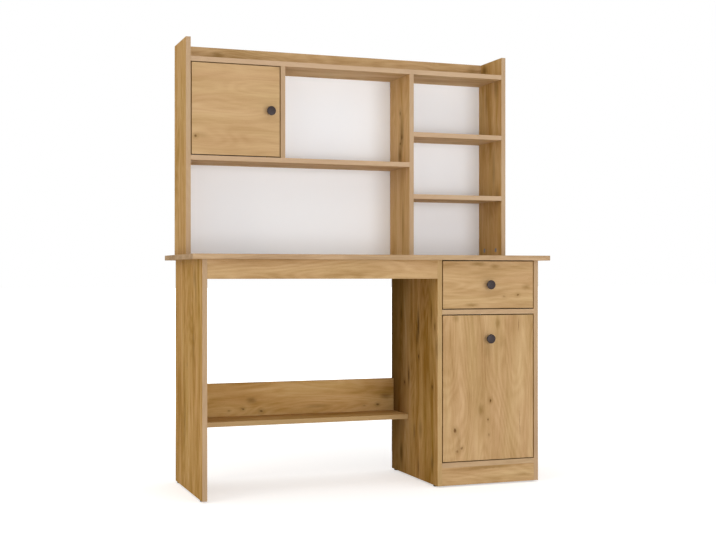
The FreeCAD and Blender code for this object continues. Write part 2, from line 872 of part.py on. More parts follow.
def in_ball_rows(make):
    """What make gives for every row, above and below the axis of both slides."""
    return group([beside_panel(solid, face, across)
                  for face, across in ((bay_x[0], 1), (bay_x[1], -1))
                  for row in ball_rows() for way in (1, -1) for solid in make(row, way)])


def slide_ball_cages():
    return in_ball_rows(lambda row, way: [row.cage(way)])


def slide_balls():
    return in_ball_rows(BallRow.balls)


def inner_screw_points():
    """Front and back screw places of the inner member."""
    return [V(0, slide_y[0] + 2 * slide_screw_inset, slide_z),
            V(0, slide_y[1] - 2 * slide_screw_inset, slide_z)]


def inner_screw(face, across, at, play):
    """Shank through the inner member's web into the drawer side."""
    start = V(face + across * (slide_space - slide_gauge), at.y, at.z)
    return rod(screw_r + play, slide_gauge + screw_bite, start, X_AXIS * across)


def slide_inner_members():
    def make(face, across):
        channel = slotted_tube(inner_w, inner_h, inner_mouth, slide_len, -1)
        channel.translate(V(slide_space - inner_w, slide_y[0], slide_z))
        holes = [inner_screw(face, across, at, hole_play) for at in inner_screw_points()]
        return beside_panel(channel, face, across).cut(holes)
    return both_sides(make)


def drawer_slide_screws():
    screws = []
    for face, across in ((bay_x[0], 1), (bay_x[1], -1)):
        for at in inner_screw_points():
            start = V(face + across * (slide_space - slide_gauge), at.y, at.z)
            head = rod(pan_head_r, pan_head_h, start, X_AXIS * -across)
            screws.append(inner_screw(face, across, at, 0).fuse(head).removeSplitter())
    return group(screws)


# ---------------------------------------------------------------------------
# Doors and their concealed hinges
# ---------------------------------------------------------------------------

class HingePlace:
    """Where one hinge sits: the panel's inner face, the way across, the face plane, the height."""

    def __init__(self, face, across, front, z):
        self.face = face
        self.across = across
        self.front = front
        self.z = z

    def point(self, across, back, up=0.0):
        """A point given out from the panel, behind the face plane and above the hinge's middle."""
        return V(self.face + self.across * across, self.front + back, self.z + up)

    def block(self, across, back, up):
        """A block given by three such pairs of values."""
        x = sorted((self.face + self.across * across[0], self.face + self.across * across[1]))
        y = (self.front + back[0], self.front + back[1])
        return block(x, y, (self.z + up[0], self.z + up[1]))

    def prism(self, outline, half):
        """An outline of (across, back) pairs, extruded half a width up and half a width down."""
        wire = Part.makePolygon([self.point(s, y, -half) for s, y in outline + outline[:1]])
        return Part.Face(wire).extrude(V(0, 0, 2 * half))

    def pin(self, radius, half):
        """Upright round bar on the hinge's axis."""
        return rod(radius, 2 * half, self.point(pivot_across, pivot_back, -half), Z_AXIS)


def door_hinges():
    return [HingePlace(bay_x[1], -1, face_y, z) for z in door_hinge_z]


def hutch_door_hinges():
    return [HingePlace(leg_x[1], 1, hutch_y[0], z) for z in hutch_hinge_z]


def cup_bores(hinges):
    """Blind round bores in the door's back face."""
    depth = cup_depth + cup_bed
    return [rod(cup_r + hole_play, depth, hinge.point(reveal + cup_centre, board - depth), Y_AXIS)
            for hinge in hinges]


def wing_screw_points(hinge):
    half = wing_screws / 2
    return [hinge.point(reveal + cup_centre, board + wing_t, up) for up in (-half, half)]


def wing_screw(at, play):
    return rod(screw_r + play, wing_t + screw_bite, at, Y_AXIS * -1)


def cup_lugs(hinge):
    """Two lugs on the cup's floor, above and below the arm's eye."""
    lugs = []
    for low in (neck_w / 2 + seat_play, -neck_w / 2 - seat_play - lug_t):
        foot = hinge.block((pivot_across - eye_r, pivot_across + eye_r),
                           (board - cup_depth + cup_wall / 2, pivot_back), (low, low + lug_t))
        top = rod(eye_r, lug_t, hinge.point(pivot_across, pivot_back, low), Z_AXIS)
        lugs += [foot, top]
    return lugs


def hinge_cups(hinges):
    """Pressed cups with a wing above and below, sunk in the door's back face."""
    cups = []
    centre = reveal + cup_centre
    for hinge in hinges:
        cup = rod(cup_r, cup_depth, hinge.point(centre, board - cup_depth), Y_AXIS)
        wing = hinge.block((centre - wing_w / 2, centre + wing_w / 2), (board, board + wing_t),
                           (-wing_h / 2, wing_h / 2))
        rim = rod(cup_r + cup_wall, wing_t, hinge.point(centre, board), Y_AXIS)
        hollow = rod(cup_r - cup_wall, cup_depth + wing_t,
                     hinge.point(centre, board - cup_depth + cup_wall), Y_AXIS)
        body = cup.fuse([wing, rim]).removeSplitter().cut(hollow)
        body = body.fuse(cup_lugs(hinge)).removeSplitter()
        holes = [wing_screw(at, hole_play) for at in wing_screw_points(hinge)]
        holes.append(hinge.pin(hinge_pin_r + hole_play, arm_h))
        cups.append(body.cut(holes))
    return group(cups)


def hinge_pins(hinges):
    """Riveted pins through the cups' lugs; the doors turn on them."""
    pins = []
    reach = neck_w / 2 + seat_play + lug_t
    for hinge in hinges:
        heads = [rod(rivet_r, rivet_h, hinge.point(pivot_across, pivot_back, up), Z_AXIS)
                 for up in (reach, -reach - rivet_h)]
        pins.append(hinge.pin(hinge_pin_r, reach).fuse(heads).removeSplitter())
    return group(pins)


def hinge_cup_screws(hinges):
    screws = []
    for hinge in hinges:
        for at in wing_screw_points(hinge):
            head = rod(pan_head_r, pan_head_h, at, Y_AXIS)
            screws.append(wing_screw(at, 0).fuse(head).removeSplitter())
    return group(screws)


def plate_screw_points(hinge):
    half = plate_screws / 2
    return [hinge.point(plate_t, plate_setback, up) for up in (-half, half)]


def plate_screw(hinge, at, play):
    return rod(screw_r + play, plate_t + screw_bite, at, X_AXIS * -hinge.across)


def plate_screw_holes(hinges):
    return [plate_screw(hinge, at, hole_play) for hinge in hinges for at in plate_screw_points(hinge)]


def arm_screw_points(hinge):
    """On the arm's web: the side adjuster in front, the clamping screw behind."""
    half = arm_screws / 2
    return [hinge.point(saddle_h + arm_gauge, plate_setback + back) for back in (-half, half)]


def arm_screw(hinge, at, play):
    return rod(screw_r + play, arm_gauge + arm_screw_bite, at, X_AXIS * -hinge.across)


def arm_screw_bores(hinge):
    return [arm_screw(hinge, at, hole_play) for at in arm_screw_points(hinge)]


def hinge_arm_screws():
    screws = []
    for hinge in door_hinges() + hutch_door_hinges():
        for at in arm_screw_points(hinge):
            head = rod(pan_head_r, pan_head_h, at, X_AXIS * hinge.across)
            screws.append(arm_screw(hinge, at, 0).fuse(head).removeSplitter())
    return group(screws)


def hinge_plates():
    """Mounting plates: a cross piece screwed to the panel and a saddle for the arm."""
    plates = []
    cross_back = (plate_setback - plate_w / 2, plate_setback + plate_w / 2)
    saddle_back = (plate_setback - saddle_len / 2, plate_setback + saddle_len / 2)
    for hinge in door_hinges() + hutch_door_hinges():
        cross = hinge.block((0, plate_t), cross_back, (-plate_h / 2, plate_h / 2))
        saddle = hinge.block((0, saddle_h), saddle_back, (-saddle_w / 2, saddle_w / 2))
        holes = [plate_screw(hinge, at, hole_play) for at in plate_screw_points(hinge)]
        plates.append(cross.fuse(saddle).removeSplitter().cut(holes + arm_screw_bores(hinge)))
    return group(plates)


def hinge_plate_screws():
    screws = []
    for hinge in door_hinges() + hutch_door_hinges():
        for at in plate_screw_points(hinge):
            head = rod(pan_head_r, pan_head_h, at, X_AXIS * hinge.across)
            screws.append(plate_screw(hinge, at, 0).fuse(head).removeSplitter())
    return group(screws)


def bent_bar(hinge, path, thick, half):
    """Flat bar with rounded bends along a path of (across, back) points."""
    pieces = [rod(thick / 2, 2 * half, hinge.point(s, y, -half), Z_AXIS) for s, y in path]
    for (s0, y0), (s1, y1) in zip(path, path[1:]):
        scale = thick / 2 / math.hypot(s1 - s0, y1 - y0)
        ds, dy = (y0 - y1) * scale, (s1 - s0) * scale
        sides = [(s0 + ds, y0 + dy), (s1 + ds, y1 + dy), (s1 - ds, y1 - dy), (s0 - ds, y0 - dy)]
        pieces.append(hinge.prism(sides, half))
    return pieces[0].fuse(pieces[1:]).removeSplitter()


def arm_channel(hinge):
    """The arm's pressed channel over the saddle."""
    fore = plate_setback - saddle_len / 2 + arm_gauge
    rear = plate_setback + saddle_len / 2 + arm_tail
    low, web = saddle_h - arm_lap, saddle_h + arm_gauge
    side = [(low, rear), (web, rear), (web, fore), (saddle_h - arm_gauge, fore), (low, fore + arm_taper)]
    hollow = hinge.block((0, saddle_h), (0, 2 * rear), (arm_gauge - arm_h / 2, arm_h / 2 - arm_gauge))
    return hinge.prism(side, arm_h / 2).cut(hollow)


def hinge_arms():
    """Arms clamped over the saddles, with a cranked neck that ends in an eye round the hinge pin."""
    arms = []
    for hinge in door_hinges() + hutch_door_hinges():
        bends = [(0, 0), (neck_dip, neck_dip_back), (neck_far, neck_far_back), (neck_top, neck_top_back)]
        path = [(pivot_across + across, pivot_back + back) for across, back in bends]
        path.append((saddle_h + neck_t / 2, plate_setback - saddle_len / 2 + neck_t))
        neck = bent_bar(hinge, path, neck_t, neck_w / 2)
        arm = arm_channel(hinge).fuse([neck, hinge.pin(eye_r, neck_w / 2)]).removeSplitter()
        eye = hinge.pin(hinge_pin_r + hinge_pin_play, neck_w)
        arms.append(arm.cut([eye] + arm_screw_bores(hinge)))
    return group(arms)


def cabinet_door():
    door = front_board(front_x, front_y, door_z)
    holes = cup_bores(door_hinges()) + [knob_hole(door_knob_at, board)]
    holes += [wing_screw(at, hole_play) for hinge in door_hinges() for at in wing_screw_points(hinge)]
    return door.cut(holes)


def hutch_door():
    door = front_board(hutch_door_x, hutch_door_y, hutch_door_z)
    hinges = hutch_door_hinges()
    holes = cup_bores(hinges) + [knob_hole(hutch_knob_at, board)]
    holes += [wing_screw(at, hole_play) for hinge in hinges for at in wing_screw_points(hinge)]
    return door.cut(holes)


# ---------------------------------------------------------------------------
# Nodes
# ---------------------------------------------------------------------------

def boards():
    """The carcass boards that cam fittings and dowels join, before they are drilled for them."""
    made = {
        "desktop": desktop(),
        "left_leg_panel": left_leg_panel(),
        "cabinet_left_panel": cabinet_left_panel(),
        "cabinet_right_panel": cabinet_right_panel(),
        "front_apron": front_apron(),
        "modesty_panel": modesty_panel(),
        "modesty_ledge": modesty_ledge(),
        "cabinet_fixed_shelf": cabinet_fixed_shelf(),
        "cabinet_bottom_board": cabinet_bottom_board(),
        "cabinet_plinth": cabinet_plinth(),
        "hutch_left_side": hutch_left_side(),
        "hutch_right_side": hutch_right_side(),
        "hutch_top_shelf": hutch_top_shelf(),
        "hutch_back_rail": hutch_back_rail(),
        "hutch_middle_shelf": hutch_middle_shelf(),
        "hutch_short_divider": hutch_short_divider(),
        "hutch_tall_divider": hutch_tall_divider(),
    }
    made.update({name: hutch_column_shelf(number) for name, number in column_shelf_names.items()})
    return made


def nodes():
    """Every node's name and shape."""
    made = {name: drilled(name, solid) for name, solid in boards().items()}
    made.update({
        "cam_locks": cam_locks(),
        "cam_bolts": cam_bolts(),
        "wood_dowels": wood_dowels(),
        "cabinet_back_panel": cabinet_back_panel(),
        "hutch_back_panel": hutch_back_panel(),
        "cabinet_loose_shelf": cabinet_loose_shelf(),
        "shelf_pins": shelf_pins(),
        "glide_feet": glide_feet(),
        "slide_outer_members": slide_outer_members(),
        "slide_fixing_screws": slide_fixing_screws(),
        "slide_middle_members": slide_middle_members(),
        "slide_ball_cages": slide_ball_cages(),
        "slide_balls": slide_balls(),
        "slide_inner_members": slide_inner_members(),
        "drawer_slide_screws": drawer_slide_screws(),
        "drawer_front": drawer_front(),
        "drawer_left_side": drawer_left_side(),
        "drawer_right_side": drawer_right_side(),
        "drawer_back_board": drawer_back_board(),
        "drawer_bottom": drawer_bottom(),
        "drawer_dowels": drawer_dowels(),
        "drawer_knob": knob(drawer_knob_at),
        "drawer_knob_screw": knob_screw(drawer_knob_at, board),
        "cabinet_door": cabinet_door(),
        "cabinet_door_knob": knob(door_knob_at),
        "cabinet_door_knob_screw": knob_screw(door_knob_at, board),
        "cabinet_hinge_cups": hinge_cups(door_hinges()),
        "cabinet_hinge_cup_screws": hinge_cup_screws(door_hinges()),
        "cabinet_hinge_pins": hinge_pins(door_hinges()),
        "hutch_door": hutch_door(),
        "hutch_door_knob": knob(hutch_knob_at),
        "hutch_door_knob_screw": knob_screw(hutch_knob_at, board),
        "hutch_hinge_cups": hinge_cups(hutch_door_hinges()),
        "hutch_hinge_cup_screws": hinge_cup_screws(hutch_door_hinges()),
        "hutch_hinge_pins": hinge_pins(hutch_door_hinges()),
        "hinge_plates": hinge_plates(),
        "hinge_plate_screws": hinge_plate_screws(),
        "hinge_arms": hinge_arms(),
        "hinge_arm_screws": hinge_arm_screws(),
    })
    return made


def main():
    os.makedirs("parts", exist_ok=True)
    for name, shape in nodes().items():
        if not shape.isValid():
            raise ValueError(name + " is not a valid shape")
        shape.exportStep("parts/" + name + ".step")
        print(name, len(shape.Solids), round(shape.Volume))


main()
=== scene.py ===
"""Student desk with hutch: finishes, small fittings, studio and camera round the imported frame.

Metres, +Z up, +X to the sitter's right, +Y to the wall.  The boards, fronts,
slides and hinges are the frame's own nodes and get their finishes here.  The
screws with their cross recesses and threads and the tacks of the back panels
are made here and ride on the bodies that hold them.
"""
import logging
import math
from dataclasses import dataclass, field
from enum import Enum
from functools import partial

import bpy
import numpy as np
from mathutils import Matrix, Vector


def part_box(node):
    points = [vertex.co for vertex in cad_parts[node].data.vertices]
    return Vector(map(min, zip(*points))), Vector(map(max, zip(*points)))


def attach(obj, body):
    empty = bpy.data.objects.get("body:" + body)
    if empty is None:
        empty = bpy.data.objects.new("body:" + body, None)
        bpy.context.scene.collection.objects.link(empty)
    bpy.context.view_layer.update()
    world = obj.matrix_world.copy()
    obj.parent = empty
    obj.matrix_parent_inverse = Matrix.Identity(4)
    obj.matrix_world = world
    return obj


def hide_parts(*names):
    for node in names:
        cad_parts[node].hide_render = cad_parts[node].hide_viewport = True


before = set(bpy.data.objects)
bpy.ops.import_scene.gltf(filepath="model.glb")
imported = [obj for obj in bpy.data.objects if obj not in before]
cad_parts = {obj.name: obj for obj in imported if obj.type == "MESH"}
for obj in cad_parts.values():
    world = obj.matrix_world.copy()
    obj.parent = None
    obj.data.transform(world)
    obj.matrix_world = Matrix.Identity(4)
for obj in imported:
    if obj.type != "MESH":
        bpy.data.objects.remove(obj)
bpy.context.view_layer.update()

log = logging.getLogger("student_desk")

Material = bpy.types.Material
Socket = bpy.types.NodeSocket
Number = Socket | float
Pair = tuple[float, float]
Triple = tuple[float, float, float]
Surface = tuple[np.ndarray, np.ndarray]

MM = 0.001
UP = 2      # number of the upright axis
IMAGE_WIDTH, IMAGE_HEIGHT = 716, 540
FULL_TURN = 2 * np.pi
WHITE = (1.0, 1.0, 1.0, 1.0)


# --- Colour, node and scene helpers ---

def linear(colour: str) -> tuple[float, float, float, float]:
    """Turn an sRGB hex colour into linear RGBA.

    Args:
        colour: Six hex digits, with or without a leading hash.

    Returns:
        Red, green, blue and an alpha of 1, each from 0 to 1.
    """
    digits = colour.lstrip("#")
    parts = [int(digits[i:i + 2], 16) / 255 for i in (0, 2, 4)]
    bent = [p / 12.92 if p <= 0.04045 else ((p + 0.055) / 1.055) ** 2.4 for p in parts]
    return (*bent, 1.0)


def add_node(tree: bpy.types.NodeTree, kind: str, inputs: dict | None = None,
             **settings: object) -> bpy.types.Node:
    """Add one node with its settings, input values and links.

    Args:
        tree: The node tree that takes the node.
        kind: Blender's name of the node type.
        inputs: Values or output sockets by input name or number.
        **settings: Properties of the node itself.

    Returns:
        The new node.
    """
    node = tree.nodes.new(kind)
    for name, value in settings.items():
        setattr(node, name, value)
    for key, value in (inputs or {}).items():
        if isinstance(value, Socket):
            tree.links.new(value, node.inputs[key])
        else:
            node.inputs[key].default_value = value
    return node


@dataclass
class Graph:
    """A tree of shader nodes with short ways to add the common ones."""

    tree: bpy.types.NodeTree

    def add(self, kind: str, inputs: dict | None = None, **settings: object) -> bpy.types.Node:
        """Add one shader node of any kind."""
        return add_node(self.tree, "ShaderNode" + kind, inputs, **settings)

    def place(self, output: str) -> Socket:
        """Object coordinates, the normal or another texture coordinate."""
        return self.add("TexCoord").outputs[output]

    def part(self, vector: Socket, axis: int) -> Socket:
        """One of a vector's three parts."""
        return self.add("SeparateXYZ", {0: vector}).outputs[axis]

    def maths(self, operation: str, *values: Number) -> Socket:
        """A number worked out from one to three numbers."""
        return self.add("Math", dict(enumerate(values)), operation=operation).outputs[0]

    def vector(self, operation: str, *values: Socket | Triple) -> Socket:
        """A vector worked out from two vectors."""
        return self.add("VectorMath", dict(enumerate(values)), operation=operation).outputs[0]

    def scaled(self, vector: Socket, factor: Number) -> Socket:
        """A vector times a number."""
        return self.add("VectorMath", {0: vector, "Scale": factor}, operation="SCALE").outputs[0]

    def length(self, vector: Socket) -> Socket:
        """The length of a vector."""
        return self.add("VectorMath", {0: vector}, operation="LENGTH").outputs["Value"]

    def ranged(self, value: Socket, given: Pair = (0.0, 1.0),
               wanted: tuple[Number, Number] = (0.0, 1.0),
               smooth: bool = False) -> Socket:
        """Carry a value from a given range into a wanted one, held at its ends.

        Args:
            value: The value to carry over.
            given: The range it comes from.
            wanted: The range it goes to.
            smooth: Whether it eases in and out at the ends.

        Returns:
            The value in the wanted range.
        """
        return self.add("MapRange", {"Value": value, "From Min": given[0], "From Max": given[1],
                                     "To Min": wanted[0], "To Max": wanted[1]},
                        interpolation_type="SMOOTHSTEP" if smooth else "LINEAR").outputs[0]

    def mixed(self, share: Socket, first: Socket | str, second: Socket | str) -> Socket:
        """Mix two colours, each a socket or hex digits, by the share of the second."""
        first, second = (linear(c) if isinstance(c, str) else c for c in (first, second))
        return self.add("Mix", {0: share, 6: first, 7: second}, data_type="RGBA").outputs[2]

    def noise(self, cell_mm: float, detail: float, roughness: float = 0.5) -> Socket:
        """Noise with cells of a given size, the same in all directions."""
        return self.add("TexNoise", {"Vector": self.place("Object"), "Scale": 1 / (cell_mm * MM),
                                     "Detail": detail, "Roughness": roughness}).outputs["Fac"]

    def finish(self, colour: Socket, roughness: Number, relief: Socket | None = None,
               strength: float = 0.0, depth_mm: float = 0.0, specular: float = 0.5,
               metallic: float = 0.0) -> None:
        """Close a material with its surface.

        Args:
            colour: The base colour.
            roughness: From 0, a mirror, to 1, matt.
            relief: Height of a fine texture; none leaves the surface even.
            strength: How strongly the relief shows.
            depth_mm: How deep it is.
            specular: Strength of the mirror image on what isn't metal.
            metallic: 1 for bare metal.
        """
        inputs = {"Base Color": colour, "Roughness": roughness, "Specular IOR Level": specular,
                  "Metallic": metallic}
        if relief is not None:
            inputs["Normal"] = self.add("Bump", {"Height": relief, "Strength": strength,
                                                 "Distance": depth_mm * MM}).outputs[0]
        self.close(self.add("BsdfPrincipled", inputs))

    def close(self, shader: bpy.types.Node) -> None:
        """Link a shader to the material's output."""
        self.add("OutputMaterial", {"Surface": shader.outputs[0]})


def new_material(name: str) -> tuple[Material, Graph]:
    """Make an empty node material.

    Args:
        name: The material's name.

    Returns:
        The material and its cleared nodes.
    """
    material = bpy.data.materials.new(name)
    material.use_nodes = True
    material.node_tree.nodes.clear()
    return material, Graph(material.node_tree)


def dress(material: Material, *names: str) -> None:
    """Give frame nodes a single material in all their slots.

    Args:
        material: The material.
        *names: The nodes that get it.
    """
    for name in names:
        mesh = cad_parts[name].data
        mesh.materials.clear()
        mesh.materials.append(material)


def put(name: str, data: bpy.types.ID) -> bpy.types.Object:
    """Put a mesh, a lamp or a camera into the scene.

    Args:
        name: The object's name.
        data: What it shows.

    Returns:
        The new object.
    """
    thing = bpy.data.objects.new(name, data)
    bpy.context.scene.collection.objects.link(thing)
    return thing


# --- Oak-faced board ---

class Cut(Enum):
    """How a board lies: the axes along its grain, across its face and through it."""

    UPRIGHT = (2, 1, 0)     # standing grain, its face to the side
    DOOR = (2, 0, 1)        # standing grain, its face to the front
    SHELF = (0, 1, 2)       # lying grain, its face up
    RAIL = (0, 2, 1)        # lying grain, its face to the front
    DRAWER_SIDE = (1, 2, 0)     # grain to the back, its face to the side


class MarkKind(Enum):
    """What a mark is: its colour in the decor, and where it fades and where it ends.

    The two distances are shares of the mark's half size.
    """

    KNOT = ("knot", 0.25, 1.0)      # small and dark, and the grain flows round it
    SMEAR = ("olive", 0.0, 1.25)    # soft patch: a smear of the print, and on the knee-space panel also painted shade
    CRACK = ("crack", 0.0, 1.0)     # thin line along the grain


@dataclass(frozen=True)
class Mark:
    """One mark on a board's face, in millimetres from the board's low corner.

    along and across are its middle, length and width its half sizes along and
    across the grain, strength how dark it is.
    """

    kind: MarkKind
    along: float
    across: float
    length: float
    width: float
    strength: float = 0.8


# a knot, a soft patch or a crack, from its middle, its half sizes and its strength; a soft patch
# is a smear, and on the knee-space panel also painted shade
knot, smear_and_shade, crack = (partial(Mark, kind) for kind in MarkKind)


@dataclass(frozen=True)
class Board:
    """How one board is cut from the oak-faced sheet, and the marks of its face.

    tone is how much lighter its piece of the print is than the rest, contrast
    how strongly the figure shows on it.
    """

    cut: Cut
    marks: tuple[Mark, ...] = ()
    tone: float = 0.0
    contrast: float = 1.0


@dataclass(frozen=True)
class Layer:
    """One layer of the printed figure: noise drawn out along the grain.

    width_mm is the size of its cells across the grain, stretch their length
    over that, detail and roughness the noise's octaves and the weight of the
    finer ones, weight the layer's part in the tone.
    """

    width_mm: float
    stretch: float
    detail: float = 2.0
    roughness: float = 0.5
    weight: float = 0.0


@dataclass(frozen=True)
class OakDecor:
    """Melamine-faced chipboard with a printed, lightly textured oak paper.

    The eye sees a satin tan oak: broad soft bands about 35 mm wide, finer
    streaks and thin pores along the grain, now and then a small knot with the
    grain bent round it, an olive smear or a hair crack.
    """

    deep: str = "#93703F"
    brown: str = "#B08D5F"
    tan: str = "#C09E71"
    light: str = "#D6BA94"
    band: str = "#AC9681"       # the glued edge band's colour; the fronts' darker band also paints shade into the reveal gaps
    olive: str = "#86683A"
    knot: str = "#5F3E20"
    crack: str = "#6B4A26"
    shades: Layer = Layer(110.0, 4.0, weight=0.45)
    bands: Layer = Layer(34.0, 10.0, 3.0, 0.55, 0.90)
    streaks: Layer = Layer(7.0, 13.0, 3.0, 0.6, 0.34)
    lines: Layer = Layer(1.8, 20.0, 2.0, 0.6, 0.26)
    rings: Layer = Layer(95.0, 5.0, 1.0, weight=0.05)
    pores: Layer = Layer(0.7, 12.0, 1.0, weight=-0.10)      # real ones are about 0.2 mm wide
    drift: Layer = Layer(170.0, 3.2)
    warmth: Layer = Layer(60.0, 6.0)
    sheet_tear: Layer = Layer(9.0, 1.6)
    mark_tear: Layer = Layer(6.0, 2.0)
    ring_count: float = 115.0
    pore_cut: Pair = (0.60, 0.72)       # only the noise's crests print as pores
    bend_mm: float = 14.0               # how far the grain wanders
    sheet_tear_mm: float = 7.0          # how ragged scattered marks are
    mark_tear_mm: float = 8.0           # how ragged a board's own marks are
    cell_mm: float = 150.0              # of the grid that scatters knots and smears
    bare_cells: Pair = (0.82, 0.72)     # shares of them without a knot, without a smear
    knot_share: float = 0.7             # how dark scattered knots are
    smear_share: float = 0.42
    knot_fade: Pair = (0.012, 0.036)    # fades of the scattered marks, in cells
    smear_fade: Pair = (0.0, 0.17)
    cell_halo: Pair = (0.0, 0.24)
    cell_pull: float = 0.75             # bend of the grain round them, in cells
    knot_ring: float = 0.35             # olive ring round a knot, a share of its strength
    ring_fade: Pair = (0.6, 2.8)        # fades round a board's own knot, in its half sizes
    knot_halo: Pair = (0.0, 4.5)
    knot_pull: float = 0.7
    warmth_hue: Pair = (0.4965, 0.5035)
    band_share: float = 0.35
    tone: float = 0.38
    saturation: float = 0.97
    roughness: float = 0.6
    rough_spread: Pair = (0.14, -0.04)      # added to it in the pores and on the lines
    specular: float = 0.02


@dataclass
class OakPrint:
    """One board's piece of the print; x runs along its grain and y across its face.

    The seed is the board's number and picks its place on the print.
    """

    decor: OakDecor
    name: str
    board: Board
    seed: int
    step: Triple = (1.37, 0.61, 0.23)       # metres from one board's place to the next's
    marks: list[tuple[Socket, str]] = field(default_factory=list)   # strength, colour
    graph: Graph = field(init=False)

    def material(self) -> Material:
        """Lay the figure, the marks and the edge bands over one another.

        Returns:
            The board's material.
        """
        decor = self.decor
        material, graph = new_material("oak_decor_" + self.name)
        self.graph = graph
        own, on_sheet = self._coordinates()
        flow = self._own_marks(own, self._scattered_marks(on_sheet))
        self.marks.append((self._edge(), decor.band))
        drifted = graph.vector("ADD", on_sheet, self._drift(on_sheet))
        bent = graph.vector("ADD", drifted, flow)
        tone, relief = self._figure(bent)
        roughness = graph.ranged(relief, (-1.0, 0.4),
                                 tuple(decor.roughness + more for more in decor.rough_spread))
        graph.finish(self._colour(tone, bent), roughness, relief, strength=0.35,
                     depth_mm=0.12, specular=decor.specular)
        return material

    def _coordinates(self) -> tuple[Socket, Socket]:
        """Turn object coordinates to the board's grain and face.

        Returns:
            Coordinates from the board's low corner, and the same moved to the
            board's own place on the print.
        """
        graph, low, order = self.graph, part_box(self.name)[0], self.board.cut.value
        parts = graph.add("SeparateXYZ", {0: graph.place("Object")}).outputs
        turned = graph.add("CombineXYZ", {i: parts[axis] for i, axis in enumerate(order)})
        own = graph.vector("SUBTRACT", turned.outputs[0], tuple(low[axis] for axis in order))
        return own, graph.vector("ADD", own, tuple(self.seed * step for step in self.step))

    def _noise(self, place: Socket, layer: Layer, output: str = "Fac") -> Socket:
        """Noise of one layer.

        Args:
            place: Coordinates on the print.
            layer: Width, stretch, detail and roughness of the noise.
            output: "Fac" for a number, "Color" for a colour.

        Returns:
            The noise.
        """
        across = 1 / (layer.width_mm * MM)
        cells = self.graph.add("Mapping", {"Vector": place,
                                           "Scale": (across / layer.stretch, across, across)})
        return self.graph.add("TexNoise", {"Vector": cells.outputs[0], "Scale": 1.0,
                                           "Detail": layer.detail,
                                           "Roughness": layer.roughness}).outputs[output]

    def _drift(self, place: Socket) -> Socket:
        """Slow sideways drift of the grain, as a vector with only an across part."""
        bend, noise = self.decor.bend_mm * MM, self._noise(place, self.decor.drift)
        return self.graph.add("CombineXYZ", {1: self.graph.ranged(
            noise, (0.25, 0.75), (-bend, bend))}).outputs[0]

    def _torn(self, place: Socket, tear: Layer, reach_mm: float) -> Socket:
        """Coordinates pushed to and fro, which gives marks a ragged outline."""
        push = self.graph.vector("ADD", self._noise(place, tear, "Color"), (-0.5, -0.5, -0.5))
        return self.graph.vector("ADD", place, self.graph.scaled(push, reach_mm * MM))

    def _fade(self, distance: Socket, reach: Pair, gate: Number = 1.0) -> Socket:
        """The gate up to the reach's first distance, falling to nothing at the second."""
        fall = self.graph.ranged(distance, reach, (1.0, 0.0), smooth=True)
        return self.graph.maths("MULTIPLY", fall, gate)

    def _pull(self, local: Socket, reach: float, halo: Socket) -> Socket:
        """The bend of the grain round a knot: away from its middle, where its halo lies."""
        return self.graph.scaled(self.graph.vector("MULTIPLY", local, (0.0, -reach, 0.0)), halo)

    def _scattered_marks(self, place: Socket) -> Socket:
        """Small knots and smears in the cells of a Voronoi grid, most of them left empty.

        A board that lists its own marks gets no scattered knots.

        Args:
            place: Coordinates on the print.

        Returns:
            The bend of the grain round the knots.
        """
        graph, decor = self.graph, self.decor
        cell = decor.cell_mm * MM
        torn = self._torn(place, decor.sheet_tear, decor.sheet_tear_mm)
        grid = graph.add("Mapping", {"Vector": torn, "Scale": (0.5 / cell, 1 / cell, 0.0)})
        cells = graph.add("TexVoronoi", {"Vector": grid.outputs[0], "Scale": 1.0,
                                         "Randomness": 0.9}, voronoi_dimensions="2D")
        near = cells.outputs["Distance"]
        picks = graph.add("SeparateColor", {0: cells.outputs["Color"]})
        has_knot, has_smear = (graph.maths("GREATER_THAN", picks.outputs[i], bare)
                               for i, bare in enumerate(decor.bare_cells))
        smears = self._fade(near, decor.smear_fade, has_smear)
        knots = self._fade(near, decor.knot_fade, has_knot)
        knot_share = 0.0 if self.board.marks else decor.knot_share
        self.marks += [(graph.maths("MULTIPLY", smears, decor.smear_share), decor.olive),
                       (graph.maths("MULTIPLY", knots, knot_share), decor.knot)]
        offset = graph.vector("SUBTRACT", grid.outputs[0], cells.outputs["Position"])
        halo = self._fade(near, decor.cell_halo, has_knot)
        return self._pull(offset, decor.cell_pull * cell, halo)

    def _own_marks(self, own: Socket, flow: Socket) -> Socket:
        """The board's listed marks as soft, slightly ragged ellipses.

        Args:
            own: Coordinates from the board's low corner.
            flow: The bend of the grain so far.

        Returns:
            The bend of the grain with the knots' own.
        """
        graph, decor = self.graph, self.decor
        if not self.board.marks:
            return flow
        torn = self._torn(own, decor.mark_tear, decor.mark_tear_mm)
        for mark in self.board.marks:
            scale = (1 / (mark.length * MM), 1 / (mark.width * MM), 0.0)
            middle = (-mark.along * MM * scale[0], -mark.across * MM * scale[1], 0.0)
            local = graph.add("Mapping", {"Vector": torn, "Location": middle,
                                          "Scale": scale}).outputs[0]
            reach = graph.length(local)
            if mark.kind is MarkKind.KNOT:
                ring = self._fade(reach, decor.ring_fade, decor.knot_ring * mark.strength)
                self.marks.append((ring, decor.olive))
                halo = self._fade(reach, decor.knot_halo)
                pull = self._pull(local, decor.knot_pull * mark.width * MM, halo)
                flow = graph.vector("ADD", flow, pull)
            colour, *fade = mark.kind.value
            spot = self._fade(reach, fade, mark.strength)
            self.marks.append((spot, getattr(decor, colour)))
        return flow

    def _edge(self) -> Socket:
        """Find the sides that carry the glued edge band: all but the two faces.

        Returns:
            How strongly the band colour shows, on the fronts also painted shade for the gaps.
        """
        facing = self.graph.part(self.graph.place("Normal"), self.board.cut.value[2])
        edge = self.graph.maths("LESS_THAN", self.graph.maths("ABSOLUTE", facing), 0.7)
        return self.graph.maths("MULTIPLY", edge, self.decor.band_share)

